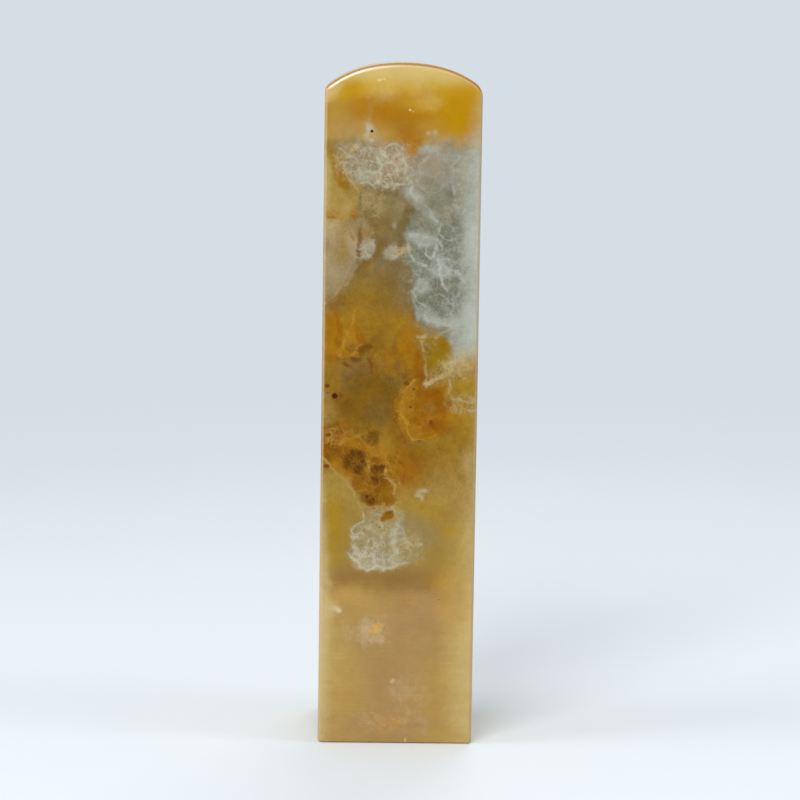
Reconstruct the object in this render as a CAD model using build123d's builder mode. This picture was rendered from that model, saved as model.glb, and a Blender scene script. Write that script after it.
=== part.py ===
from build123d import *
from math import acos, cos, degrees, radians, sin
import os

# Seal stamp: one block of polished figured stone, square in section, that stands on its seal
# face. The four sides are ground flat. The crown is arched from left to right and straight from
# front to back, and its two shoulders are eased by hand, the right one more than the left.
# Every arris is broken by a narrow polished bevel, widest along the crown's rim.
# The frame has +Z up and its origin at the middle of the seal face. The front faces -Y.

# Overall size, in millimetres
section_width = 20.0
section_depth = 20.0
overall_height = 88.0

# Crown: a three-centred arch, flatter in the middle than on its flanks
crown_centre_radius = 22.4
crown_flank_radius = 13.4
crown_centre_half_angle = 9.5  # degrees from the apex to where the flanks begin
crown_apex_offset = 0.1  # the apex stands this far right of the middle

# Shoulders, where the crown runs down into the sides
left_shoulder_radius = 0.9
right_shoulder_radius = 2.2

# Bevels that break the front and back arrises, and the corners where the sides meet the seal face
side_bevel_width = 0.37
crown_bevel_width = 0.55
foot_bevel_width = 0.2
bevel_depth = 0.4
foot_corner_radius = 0.4


def crown_arcs(side, crown_inset):
    """Returns the crown's outline as arcs from the right side to the left one.

    side is the distance from the middle to each side, and crown_inset how far the arcs lie
    inside the crown's surface. All three arcs keep their centres, so they stay parallel to it."""
    turn = radians(crown_centre_half_angle)
    centre_height = overall_height - crown_centre_radius
    centre_step = crown_centre_radius - crown_flank_radius
    flank_height = centre_height + centre_step * cos(turn)
    flank_reach = centre_step * sin(turn)
    flank_radius = crown_flank_radius - crown_inset

    def flank_arc(direction):
        """The flank on the right for a direction of 1, and on the left for -1."""
        from_centre = side - direction * crown_apex_offset - flank_reach
        flank_end = degrees(acos(from_centre / flank_radius))
        flank_sweep = 90 - crown_centre_half_angle - flank_end
        start = flank_end if direction > 0 else 180 - flank_end
        centre = (crown_apex_offset + direction * flank_reach, flank_height)
        return CenterArc(centre, flank_radius, start, direction * flank_sweep)

    right_flank = flank_arc(1)
    centre_arc = CenterArc(
        (crown_apex_offset, centre_height),
        crown_centre_radius - crown_inset,
        90 - crown_centre_half_angle,
        2 * crown_centre_half_angle,
    )
    left_flank = flank_arc(-1)
    return right_flank, centre_arc, left_flank


def front_outline(distance, side_inset, crown_inset, foot_inset):
    """Draws the stone's front outline at a distance forward of its middle plane.

    Each inset is how far that stretch of the outline lies inside the stone's surface."""
    side = section_width / 2 - side_inset
    with BuildSketch(Plane.XZ.offset(distance)) as outline:
        with BuildLine():
            right_flank, centre_arc, left_flank = crown_arcs(side, crown_inset)
            Polyline(right_flank @ 0, (side, foot_inset), (-side, foot_inset), left_flank @ 0)
        make_face()
        left_shoulder = outline.vertices().group_by(Axis.X)[0].sort_by(Axis.Y)[-1]
        fillet(left_shoulder, left_shoulder_radius - side_inset)
        right_shoulder = outline.vertices().group_by(Axis.X)[-1].sort_by(Axis.Y)[-1]
        fillet(right_shoulder, right_shoulder_radius - side_inset)
        foot_corners = outline.vertices().group_by(Axis.Y)[0]
        fillet(foot_corners, foot_corner_radius - foot_inset)
    return outline.sketch


# The block between the bevels, then the front bevel, which the back one repeats
front_arris = section_depth / 2 - bevel_depth
with BuildPart() as seal_stone:
    extrude(front_outline(0, 0, 0, 0), amount=front_arris, both=True)
    bevel_foot = front_outline(front_arris, 0, 0, 0)
    front_face = front_outline(
        section_depth / 2, side_bevel_width, crown_bevel_width, foot_bevel_width
    )
    loft([bevel_foot, front_face], ruled=True)
    mirror(about=Plane.XZ)
seal_stone.part.label = "seal_stone"

os.makedirs("parts", exist_ok=True)
export_step(seal_stone.part, "parts/seal_stone.step")

box = seal_stone.part.bounding_box()
print("size", box.size, "solids", len(seal_stone.part.solids()), "faces", len(seal_stone.part.faces()))
print("volume", seal_stone.part.volume, "valid", seal_stone.part.is_valid)
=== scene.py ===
import bpy
from math import atan2, cos, pi, radians, sin, sqrt
from mathutils import Matrix, Vector


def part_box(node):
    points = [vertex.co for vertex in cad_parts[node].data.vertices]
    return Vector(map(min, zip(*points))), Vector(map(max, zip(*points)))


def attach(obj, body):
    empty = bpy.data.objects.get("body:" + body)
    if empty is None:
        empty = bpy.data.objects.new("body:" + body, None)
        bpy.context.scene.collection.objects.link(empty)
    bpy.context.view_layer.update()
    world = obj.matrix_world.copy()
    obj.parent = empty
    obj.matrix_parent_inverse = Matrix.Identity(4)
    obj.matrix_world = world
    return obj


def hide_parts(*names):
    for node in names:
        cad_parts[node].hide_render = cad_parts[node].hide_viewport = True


# Seal stamp of polished figured stone. Lengths are in millimetres until they meet Blender,
# which works in metres, and MM turns one into the other.
MM = 0.001

# The axes, and their places in a vector
ACROSS = (1, 0, 0)
BACKWARD = (0, 1, 0)
UPWARD = (0, 0, 1)
X, Y, Z = 0, 1, 2

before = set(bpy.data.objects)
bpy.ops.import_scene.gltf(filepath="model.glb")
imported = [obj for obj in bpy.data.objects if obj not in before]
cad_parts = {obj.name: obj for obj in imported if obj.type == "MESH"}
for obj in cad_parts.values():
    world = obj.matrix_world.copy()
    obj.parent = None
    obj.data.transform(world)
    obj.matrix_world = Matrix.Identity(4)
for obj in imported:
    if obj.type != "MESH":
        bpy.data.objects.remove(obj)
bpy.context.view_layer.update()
_, stone_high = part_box("seal_stone")

# The block, from the frame
half_width = stone_high.x / MM
half_depth = stone_high.y / MM
height = stone_high.z / MM

# Crown arch, shoulders and foot
crown_centre_radius = 22.4
crown_flank_radius = 13.4
crown_centre_half_angle = radians(9.5)
crown_apex_offset = 0.1
left_shoulder_radius = 0.9
right_shoulder_radius = 2.2
foot_radius = 0.4

# Arris bevels, rounded over by polishing
side_bevel_width = 0.37
crown_bevel_width = 0.55
foot_bevel_width = 0.2
bevel_depth = 0.4
bevel_rings = 4
bevel_bulge = 0.09

# How finely the surface is divided
facet = 0.35
foot_corner_steps = 3
coarse_rows = 25
same_place = 0.001
first_plane = 2  # millimetres, so that it reaches one to each side


def metres(x, y, z):
    """A point or a move in metres, from one in millimetres."""
    return Vector((x, y, z)) * MM


def near(value, wanted):
    """Whether two lengths in millimetres are the same."""
    return abs(value - wanted) < same_place


def pick_edges(piece, test):
    """Selects the edges that pass a test on their two ends in millimetres, and nothing else."""
    bpy.ops.object.mode_set(mode="EDIT")
    bpy.ops.mesh.select_mode(type="EDGE")
    bpy.ops.mesh.select_all(action="DESELECT")
    bpy.ops.object.mode_set(mode="OBJECT")
    mesh = piece.data
    places = [vertex.co / MM for vertex in mesh.vertices]
    for edge in mesh.edges:
        first, second = edge.vertices
        edge.select = test(places[first], places[second])
    bpy.ops.object.mode_set(mode="EDIT")


def crown_outline():
    """The crown's arcs from the right side to the left one: centre x, centre z, turn, radius."""
    centre_z = height - crown_centre_radius
    step = crown_centre_radius - crown_flank_radius
    flank_z = centre_z + step * cos(crown_centre_half_angle)
    halves = []
    for direction, radius in ((1, right_shoulder_radius), (-1, left_shoulder_radius)):
        flank_x = crown_apex_offset + direction * step * sin(crown_centre_half_angle)
        shoulder_x = direction * (half_width - radius)
        across = abs(shoulder_x - flank_x)
        up = sqrt((crown_flank_radius - radius) ** 2 - across**2)
        shoulder_turn = atan2(up, across)
        flank_turn = pi / 2 - crown_centre_half_angle - shoulder_turn
        shoulder = (shoulder_x, flank_z + up, shoulder_turn, radius)
        halves.append([shoulder, (flank_x, flank_z, flank_turn, crown_flank_radius)])
    right_half, left_half = halves
    centre = (crown_apex_offset, centre_z, 2 * crown_centre_half_angle, crown_centre_radius)
    return [*right_half, centre, *reversed(left_half)]


def sweep_arc(centre_x, centre_z, turn, steps):
    """Sweeps the selected edge round an arc, anticlockwise as the front shows it."""
    centre = metres(centre_x, 0, centre_z)
    bpy.ops.mesh.spin(steps=steps, angle=turn, center=centre, axis=BACKWARD)


def sweep_straight(rise):
    """Sweeps the selected edge straight up, or down where the rise is negative."""
    move = {"value": metres(0, 0, rise)}
    bpy.ops.mesh.extrude_region_move(TRANSFORM_OT_translate=move)


def model_outline_band():
    """Sweeps a depth-wide edge round the block's outline: foot, right side, crown, left side."""
    bpy.ops.object.select_all(action="DESELECT")
    bpy.ops.mesh.primitive_plane_add(size=first_plane * MM, location=(0, 0, 0))
    stone = bpy.context.object
    stone.name = "polished_stone"
    foot_reach = half_width - foot_radius
    bpy.ops.object.mode_set(mode="EDIT")
    bpy.ops.transform.resize(value=(foot_reach, half_depth - bevel_depth, 1))

    crown = crown_outline()
    right_top, left_top = crown[0][1], crown[-1][1]
    pick_edges(stone, lambda first, second: near(first.x, foot_reach) and near(second.x, foot_reach))
    sweep_arc(foot_reach, foot_radius, pi / 2, foot_corner_steps)
    sweep_straight(right_top - foot_radius)
    crown_steps = 0
    for centre_x, centre_z, turn, radius in crown:
        steps = max(foot_corner_steps, round(turn * radius / facet))
        sweep_arc(centre_x, centre_z, turn, steps)
        crown_steps += steps
    sweep_straight(foot_radius - left_top)
    sweep_arc(-foot_reach, foot_radius, pi / 2, foot_corner_steps)
    bpy.ops.mesh.select_all(action="SELECT")
    bpy.ops.mesh.remove_doubles(threshold=same_place * MM)
    bpy.ops.mesh.normals_make_consistent(inside=False)
    return stone, crown_steps


def bevel_profile():
    """Shares of the bevel's width and depth at each ring, on a line that bulges a little."""
    for ring in range(1, bevel_rings + 1):
        share = ring / bevel_rings
        bulge = bevel_bulge * sin(pi * share)
        yield share - bulge, share + bulge


def model_bevel(stone, side):
    """Builds the rings of the front's bevel (side -1) or the back's (side 1), and leaves the face open."""
    arris = side * (half_depth - bevel_depth)
    pick_edges(stone, lambda first, second: near(first.y, arris) and near(second.y, arris))
    bpy.ops.mesh.edge_face_add()
    width_before, depth_before = 0, 0
    for width_share, depth_share in bevel_profile():
        inset = side_bevel_width * (width_share - width_before)
        rise = bevel_depth * (depth_share - depth_before)
        bpy.ops.mesh.inset(thickness=inset * MM, depth=rise * MM)
        width_before, depth_before = width_share, depth_share
    bpy.ops.mesh.delete(type="ONLY_FACE")

    for width_share, depth_share in bevel_profile():
        level = arris + side * bevel_depth * depth_share
        crown_move = (side_bevel_width - crown_bevel_width) * width_share
        foot_move = (foot_bevel_width - side_bevel_width) * width_share
        for low, high, move in ((height / 2, height, crown_move), (0, height / 2, foot_move)):
            pick_edges(
                stone,
                lambda first, second: near(first.y, level)
                and near(second.y, level)
                and low <= min(first.z, second.z)
                and max(first.z, second.z) <= high,
            )
            bpy.ops.transform.translate(value=metres(0, 0, move))


def divide_long_edges(stone, axis, shortest, parts):
    """Cuts each edge that runs further than a length along an axis into equal parts."""
    pick_edges(stone, lambda first, second: abs(first[axis] - second[axis]) > shortest)
    bpy.ops.mesh.subdivide(number_cuts=parts - 1)


def close_face(stone, side):
    """Joins the crown to the foot across the open front (side -1) or back (side 1)."""
    face = side * half_depth
    longest = half_width / 2
    pick_edges(
        stone,
        lambda first, second: near(first.y, face)
        and near(second.y, face)
        and abs(first.z - second.z) < longest,
    )
    bpy.ops.mesh.bridge_edge_loops(interpolation="LINEAR")


def model_stone():
    """Models the block, with its surface divided finely enough to carry worn and ground detail."""
    stone, crown_steps = model_outline_band()
    for side in (-1, 1):
        model_bevel(stone, side)
    divide_long_edges(stone, X, half_width, crown_steps - 2 * foot_corner_steps)
    for side in (-1, 1):
        close_face(stone, side)
    bpy.ops.mesh.select_all(action="SELECT")
    bpy.ops.mesh.remove_doubles(threshold=same_place * MM)
    divide_long_edges(stone, Y, half_depth, round(2 * half_depth / facet))
    for parts in (coarse_rows, round(height / coarse_rows / facet)):
        divide_long_edges(stone, Z, height / coarse_rows / 2, parts)
    bpy.ops.mesh.select_all(action="SELECT")
    bpy.ops.mesh.normals_make_consistent(inside=False)
    bpy.ops.object.mode_set(mode="OBJECT")
    return stone


# Light, out of 1: what the polish adds to each colour, and the least that a colour gives
sheen = 0.0068
darkest = 0.001

# The curve from a screen's values to light: a straight start, then a power
brightest_value = 255
straight_end = 0.04045
straight_slope = 12.92
curve_offset = 0.055
curve_power = 2.4


def light_of(value):
    """The light that a screen value out of 255 stands for."""
    share = value / brightest_value
    if share < straight_end:
        return share / straight_slope
    return ((share + curve_offset) / (1 + curve_offset)) ** curve_power


def tone(red, green, blue, sheen=sheen):
    """A colour for a node, from the screen values out of 255 that it has under the polish's sheen."""
    return (*[max(light_of(value) - sheen, darkest) for value in (red, green, blue)], 1)


# Tones of the stone, as the eye sees them under plain light. Some are painted light instead: a highlight on
# the corners and along the crown's front bevel, shade on the crown's bevel and top, glow low along the
# sides, and the cream top of the cap
# Cream, which also paints light: the cap's top drawn brighter
CREAM_AND_TOP_LIGHT = tone(216, 190, 126)
CREAM_GLOW = tone(226, 205, 150)
# Painted light: the cap's top drawn brighter
CAP_CREAM_TOP_LIGHT = tone(208, 178, 104)
CAP_STRAW = tone(199, 160, 62)
# Painted shade: the crown's upward-facing bevel and top, darker than the front
CROWN_SHADE_AMBER = tone(176, 127, 70)
# Painted highlight: the bright line along the crown's front bevel
RIM_HIGHLIGHT_CREAM = tone(246, 234, 208)
CAP_OCHRE = tone(179, 129, 33)
CAP_BROWN = tone(170, 117, 28)
CAP_GOLD = tone(193, 147, 26)
CAP_DEEP = tone(186, 137, 6)
CAP_TAN = tone(177, 140, 62)
CAP_FAWN = tone(174, 142, 88)
WEDGE_BROWN = tone(164, 111, 34)
VEIN_DARK = tone(150, 119, 60)
VEIN_OCHRE = tone(151, 115, 36)
VEIN_DEEP = tone(147, 107, 28)
STRIP_TAN = tone(165, 136, 70)
STRIP_PALE = tone(184, 159, 100)
CLOUD = tone(142, 123, 88)
CLOUD_ROSE = tone(160, 132, 102)
CLOUD_GREY = tone(150, 141, 114)
CLOUD_BROWN = tone(144, 115, 68)
LACE_CREAM = tone(194, 187, 163)
MILK_TOP = tone(140, 133, 113)
MILK_GREY = tone(133, 128, 104)
MILK_GREEN = tone(120, 119, 97)
MILK_CELL = tone(108, 105, 82)
MILK_WHITE = tone(168, 167, 152)
MILK_ROSE = tone(157, 141, 116)
MILK_TAN = tone(164, 157, 129)
BLUE_WHITE = tone(180, 183, 172)
EDGE_WHITE = tone(180, 183, 170)
OLIVE = tone(130, 112, 74)
OLIVE_DARK = tone(115, 97, 58)
OLIVE_BROWN = tone(133, 106, 56)
OLIVE_PALE = tone(152, 133, 92)
FLESH = tone(152, 130, 90)
FLESH_PALE = tone(176, 152, 110)
FLESH_GREY = tone(150, 134, 100)
FLESH_LILAC = tone(166, 147, 114)
FLECK_GREY = tone(168, 158, 132)
BROWN_BAND = tone(118, 86, 38)
FLECK_WHITE = tone(182, 174, 150)
TAUPE = tone(123, 104, 66)
HONEY = tone(143, 107, 44)
HONEY_GOLD = tone(150, 112, 36)
HONEY_PALE = tone(160, 128, 66)
ORANGE = tone(162, 112, 26)
ORANGE_BROWN = tone(146, 92, 16)
ORANGE_DEEP = tone(134, 82, 12)
ORANGE_LIGHT = tone(163, 113, 30)
ORANGE_LINE = tone(152, 98, 28)
YELLOW_OLIVE = tone(142, 108, 24)
YELLOW_GOLD = tone(160, 124, 12)
OLIVE_CLEAR = tone(127, 92, 30)
OLIVE_GREY = tone(121, 96, 48)
BROWN = tone(112, 74, 26)
BROWN_GREY = tone(122, 88, 48)
BROWN_LILAC = tone(124, 92, 58)
FLAME = tone(146, 96, 12)
FLAME_PALE = tone(168, 120, 40)
FLAME_LACE = tone(186, 142, 52)
RUST = tone(141, 89, 10)
RUST_DEEP = tone(126, 80, 8)
RUST_RED = tone(120, 60, 16)
RUST_LACE = tone(174, 126, 42)
DARK_CELL = tone(96, 58, 4)
RED_CELL = tone(92, 50, 8)
GREY_CELL = tone(109, 78, 28)
GOLDEN_CELL = tone(134, 94, 14)
MAROON = tone(86, 32, 18)
COLUMN_GOLD = tone(166, 131, 42)
COLUMN_TAN = tone(163, 132, 62)
COLUMN_DULL = tone(158, 130, 64)
COLUMN_PALE = tone(178, 154, 98)
PINK_TAN = tone(170, 135, 73)
FOAM = tone(150, 133, 88)
FOAM_SHADE = tone(143, 118, 78)
FOAM_CLEAR = tone(150, 128, 82)
FOAM_GOLD = tone(158, 135, 82)
FOAM_ROSE = tone(172, 155, 128)
FOAM_CREAM = tone(178, 163, 122)
FOAM_WHITE = tone(198, 189, 162)
NEST_CREAM = tone(180, 148, 82)
PALE_LACE = tone(186, 168, 118)
BAND_TAN = tone(147, 112, 60)
FOOT_TAN = tone(175, 142, 87)
FOOT_GOLD = tone(188, 153, 84)
FOOT_ROSE = tone(172, 136, 90)
# Cream, which also paints glow: paler bands low on the side edges, for light coming through the sides
CREAM_AND_SIDE_GLOW = tone(204, 181, 126)
FOOT_AMBER = tone(188, 150, 80)
FOOT_CREAM = tone(192, 160, 92)
# Painted glow: a paler band low on the right edge, for light coming through the side
SIDE_GLOW_GOLD = tone(207, 183, 123)
PINK_CREAM = tone(196, 172, 134)
PINHOLE = tone(35, 30, 26)
# Painted highlight: the paler peach of the block's vertical corners
ARRIS_HIGHLIGHT_PEACH = tone(194, 170, 136)
FLECK_CREAM = tone(222, 204, 164)
SPECK_ORANGE = tone(206, 148, 58)
SPECK_GOLD = tone(214, 160, 52)
BAND_SOFT = tone(157, 122, 69)
ORANGE_GLOW = tone(190, 140, 58)

# Ground of the stone: height above the seal face, and the tone there. The stops above the ochre, which
# brighten into cream towards the crown, are painted light: the top of the cap drawn brighter
GROUND = (
    (0, FOOT_TAN),
    (18.5, FOOT_TAN),
    (20.6, BAND_SOFT),
    (22.2, BAND_SOFT),
    (24.5, COLUMN_TAN),
    (32, COLUMN_TAN),
    (37, HONEY_GOLD),
    (47, HONEY),
    (55, HONEY_GOLD),
    (59, TAUPE),
    (72, OLIVE),
    (76.5, CAP_FAWN),
    (79, CAP_TAN),
    (81.2, CAP_BROWN),
    (83.4, CAP_OCHRE),
    (84.8, CAP_STRAW),
    (86.2, CAP_CREAM_TOP_LIGHT),
    (88, CREAM_AND_TOP_LIGHT),
)
ground_waver = 2.6  # the height over which a band strays, in millimetres


def patch(colour, x, z, half_x, half_z, tilt=0, soft=0.3, ragged=0.5, strength=1, depth=9):
    """A patch that comes out on the front face, turned anticlockwise by its tilt in degrees."""
    middle = (x, -half_depth, z)
    return colour, middle, (half_x, depth, half_z), radians(tilt), soft, ragged, strength


def patches(*rows):
    """Patches on the front face, from rows that hold what patch() takes, in its order."""
    return [patch(*row) for row in rows]


# The figure, with painted light among it, in the order in which it is laid: each row of patches goes over
# those before it
CAP = patches(
    (CAP_TAN, -8.6, 80.8, 2.4, 4.0, 0, 0.8, 0.3, 0.9),
    # Painted light: cream near the crown, the top of the cap drawn brighter
    (CREAM_AND_TOP_LIGHT, -8.9, 84.3, 1.6, 0.8, 35, 0.8, 0.3, 0.7, 30),
    (CAP_GOLD, -6.6, 84.5, 1.9, 0.9, 25, 0.9, 0.3, 0.9),
    (CAP_BROWN, -3.0, 82.6, 3.4, 1.1, 0, 0.9, 0.6, 0.5),
    (CAP_BROWN, 3.6, 81.6, 3.6, 1.4, -8, 0.9, 0.3, 0.8),
    (CAP_GOLD, 6.6, 83.2, 4.2, 1.6, 0, 0.9, 0.3, 0.8),
    (CAP_DEEP, 8.0, 81.2, 2.6, 2.9, 0, 0.9, 0.3, 1),
    (CAP_STRAW, 9.9, 82.6, 0.7, 3.2, 0, 0.9, 0.2, 0.6, 30),
    (CAP_FAWN, -6.4, 79.0, 3.4, 1.5, 0, 0.9, 0.5, 0.7),
    (CAP_FAWN, 6.4, 77.9, 4.6, 0.9, 0, 0.9, 0.6, 0.8),
    (WEDGE_BROWN, 0.6, 79.4, 1.7, 1.5, 0, 0.8, 0.4, 0.8),
    (WEDGE_BROWN, 1.0, 77.8, 1.5, 1.8, 12, 0.6, 0.5, 0.9),
    (WEDGE_BROWN, 1.3, 76.0, 0.6, 1.3, 8, 0.7, 0.4, 0.7),
    (CAP_FAWN, -4.2, 81.2, 0.35, 2.0, 3, 1.0, 0.6, 0.3),
    (LACE_CREAM, -4.4, 79.7, 0.4, 0.6, 0, 0.8, 0.9, 0.45),
    (LACE_CREAM, -4.6, 78.1, 0.45, 1.0, 12, 0.8, 0.9, 0.4),
    # Painted light: cream near the crown, the top of the cap drawn brighter
    (CREAM_AND_TOP_LIGHT, -2.2, 84.2, 1.5, 0.9, 20, 0.9, 0.9, 0.35),
    (CREAM_AND_TOP_LIGHT, 3.0, 83.6, 1.6, 1.2, -30, 0.9, 0.9, 0.3),
    (CAP_STRAW, 1.6, 82.9, 2.6, 0.8, 0, 0.9, 0.9, 0.4),
    (CAP_STRAW, 3.4, 80.2, 1.4, 0.9, 10, 0.9, 0.9, 0.35),
)
UPPER_LEFT = patches(
    (STRIP_TAN, -8.4, 71.4, 3.4, 5.8, 0, 0.3, 0.5),
    (VEIN_DARK, -9.0, 77.2, 1.1, 1.1, 0, 0.6, 0.5, 0.8),
    (VEIN_OCHRE, -8.6, 75.8, 0.9, 1.9, 12, 0.45, 0.5, 0.9),
    (VEIN_OCHRE, -7.8, 73.6, 0.85, 1.9, 20, 0.4, 0.5, 0.95),
    (VEIN_DEEP, -7.5, 73.0, 0.5, 1.1, 18, 0.7, 0.4, 0.8),
    (STRIP_PALE, -9.7, 73.0, 0.6, 2.6, 0, 0.8, 0.4, 0.9),
    (STRIP_PALE, -9.6, 69.3, 0.7, 1.5, 0, 0.8, 0.4, 0.6),
    (ORANGE_LIGHT, -8.6, 69.0, 1.3, 0.5, 0, 0.9, 0.5, 0.5),
    (STRIP_PALE, -7.0, 69.5, 0.9, 0.6, 30, 0.8, 0.7, 0.4),
    (FLESH_PALE, -8.8, 67.0, 1.6, 1.2, 0, 0.6, 0.6, 0.8),
    (ORANGE_LINE, -5.9, 67.5, 0.75, 2.1, 4, 0.6, 0.6, 0.7),
    (OLIVE, -2.2, 69.6, 3.4, 3.2, 0, 0.2, 0.5, 0.9),
    (OLIVE_DARK, -3.4, 71.9, 1.7, 0.6, -8, 0.6, 0.6, 0.7),
    (OLIVE_BROWN, -3.4, 67.4, 2.0, 1.7, 0, 0.7, 0.5, 0.6),
    (OLIVE_PALE, -4.6, 70.8, 1.0, 0.9, 0, 0.6, 1.0, 0.8),
    (OLIVE_PALE, -3.1, 69.8, 0.8, 0.45, -35, 0.7, 0.9, 0.8),
    (OLIVE_PALE, -0.2, 69.8, 0.8, 0.7, 0, 0.6, 0.6, 0.5),
    (OLIVE_DARK, 1.0, 69.1, 0.65, 1.3, -20, 0.4, 0.5, 0.8),
    (OLIVE_DARK, 0.3, 66.8, 0.9, 1.6, -10, 0.5, 0.5, 0.7),
    (FLECK_WHITE, -0.9, 67.5, 0.35, 0.45, 0, 0.8, 0.8, 0.4),
)
LACE_CLOUD = patches(
    (CLOUD, -5.6, 77.0, 2.9, 1.3, -6, 0.35, 0.7, 0.85),
    (CLOUD, -4.6, 75.0, 2.7, 2.7, 12, 0.15, 0.8),
    (CLOUD, -1.6, 76.3, 1.9, 1.8, 0, 0.2, 0.7),
    (CLOUD, -0.9, 74.1, 2.5, 1.7, -8, 0.15, 0.9),
    (CLOUD_GREY, -4.4, 73.9, 1.7, 1.1, 0, 0.7, 0.6, 0.8),
    (CLOUD_ROSE, -1.0, 76.1, 1.0, 1.0, 0, 0.6, 0.7, 0.8),
    (CLOUD_ROSE, -1.4, 74.6, 1.9, 0.8, 0, 0.6, 0.7, 0.8),
    (CLOUD_ROSE, -3.1, 77.7, 1.1, 0.9, 0, 0.7, 0.7, 0.7),
    (CAP_TAN, -6.2, 77.2, 0.5, 0.4, 0, 0.5, 0.7, 0.7),
    (CLOUD_BROWN, -2.7, 73.6, 0.6, 0.26, 15, 0.5, 0.7, 0.9),
    (CLOUD_BROWN, -1.4, 73.6, 0.35, 0.5, 0, 0.6, 0.7, 0.6),
    (CLOUD_BROWN, -0.7, 72.9, 0.4, 0.28, 0, 0.5, 0.7, 0.8),
    (CLOUD_BROWN, 0.9, 74.4, 0.3, 0.35, 0, 0.6, 0.7, 0.7),
    (CLOUD_BROWN, 0.5, 72.2, 0.3, 0.25, 0, 0.6, 0.7, 0.5),
)
MILK = patches(
    (MILK_TOP, 5.8, 73.6, 5.2, 4.3, 0, 0.3, 0.5),
    (MILK_GREEN, 6.4, 65.4, 5.9, 6.6, 0, 0.04, 0.25),
    (MILK_GREEN, 7.2, 58.2, 5.8, 5.6, 0, 0.05, 0.3),
    (MILK_GREY, 3.7, 72.2, 2.2, 1.6, -35, 0.6, 0.6, 0.9),
    (MILK_GREY, 5.0, 69.6, 1.2, 1.0, -35, 0.7, 0.6, 0.6),
    (MILK_GREY, 2.0, 68.3, 0.9, 1.6, -15, 0.6, 0.6, 0.7),
    (MILK_ROSE, 3.6, 75.2, 2.2, 1.7, 0, 0.7, 0.6, 0.9),
    (MILK_ROSE, 2.0, 73.4, 1.0, 1.6, 0, 0.7, 0.6, 0.6),
    (MILK_WHITE, 3.4, 77.2, 1.3, 0.5, 10, 0.7, 0.8, 0.7),
    (MILK_ROSE, 5.8, 69.0, 0.6, 1.0, 0, 0.8, 0.8, 0.5),
    (MILK_WHITE, 1.4, 71.2, 1.9, 0.8, -38, 0.7, 0.8, 0.7),
    (MILK_WHITE, 3.6, 68.8, 1.3, 0.6, -45, 0.7, 0.8, 0.5),
    (MILK_WHITE, 7.4, 76.2, 2.4, 0.9, 0, 0.8, 0.6, 0.6),
    (MILK_TAN, 7.8, 74.4, 0.9, 2.0, 0, 0.7, 0.6, 0.6),
    (MILK_TAN, 7.6, 70.8, 0.9, 2.2, 0, 0.7, 0.6, 0.5),
    (MILK_WHITE, 2.5, 65.7, 1.9, 0.9, -10, 0.5, 0.7, 0.8),
    (MILK_WHITE, 2.7, 59.7, 1.0, 0.9, 0, 0.6, 0.8, 0.7),
    (MILK_WHITE, 5.6, 61.6, 1.4, 0.6, -10, 0.7, 0.8, 0.6),
    (MILK_WHITE, 3.2, 56.3, 1.0, 1.0, -30, 0.7, 0.8, 0.5),
    (MILK_WHITE, 6.0, 55.2, 2.6, 0.6, -8, 0.6, 0.8, 0.7),
    (MILK_CELL, 3.3, 64.2, 0.95, 0.5, 0, 0.4, 0.8, 0.9),
    (MILK_CELL, 3.5, 63.2, 0.8, 0.6, 0, 0.4, 0.8, 0.9),
    (MILK_CELL, 5.6, 64.2, 0.55, 1.0, 0, 0.5, 0.8, 0.7),
    (MILK_CELL, 2.7, 61.5, 1.0, 0.5, 0, 0.5, 0.8, 0.7),
    (MILK_CELL, 4.3, 60.4, 0.9, 0.6, 0, 0.4, 0.8, 0.9),
    (MILK_CELL, 6.9, 60.6, 0.8, 0.8, 0, 0.6, 0.8, 0.5),
    (MILK_CELL, 4.3, 57.8, 2.0, 1.3, 0, 0.6, 0.8, 0.7),
    (MILK_CELL, 7.4, 57.4, 0.8, 1.2, 0, 0.6, 0.8, 0.4),
    (MILK_CELL, 1.4, 60.4, 0.4, 1.0, 0, 0.6, 0.6, 0.5),
    (MILK_WHITE, 8.9, 66.0, 1.3, 10.5, 0, 0.8, 0.3, 0.7),
    (MILK_WHITE, 8.4, 53.6, 2.0, 3.6, -12, 0.4, 0.7, 0.9),
    (EDGE_WHITE, 9.2, 52.6, 1.3, 2.4, 0, 0.6, 0.7, 0.8),
    (EDGE_WHITE, 10.2, 65.0, 1.8, 12.5, 0, 0.8, 0.3),
)
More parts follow.
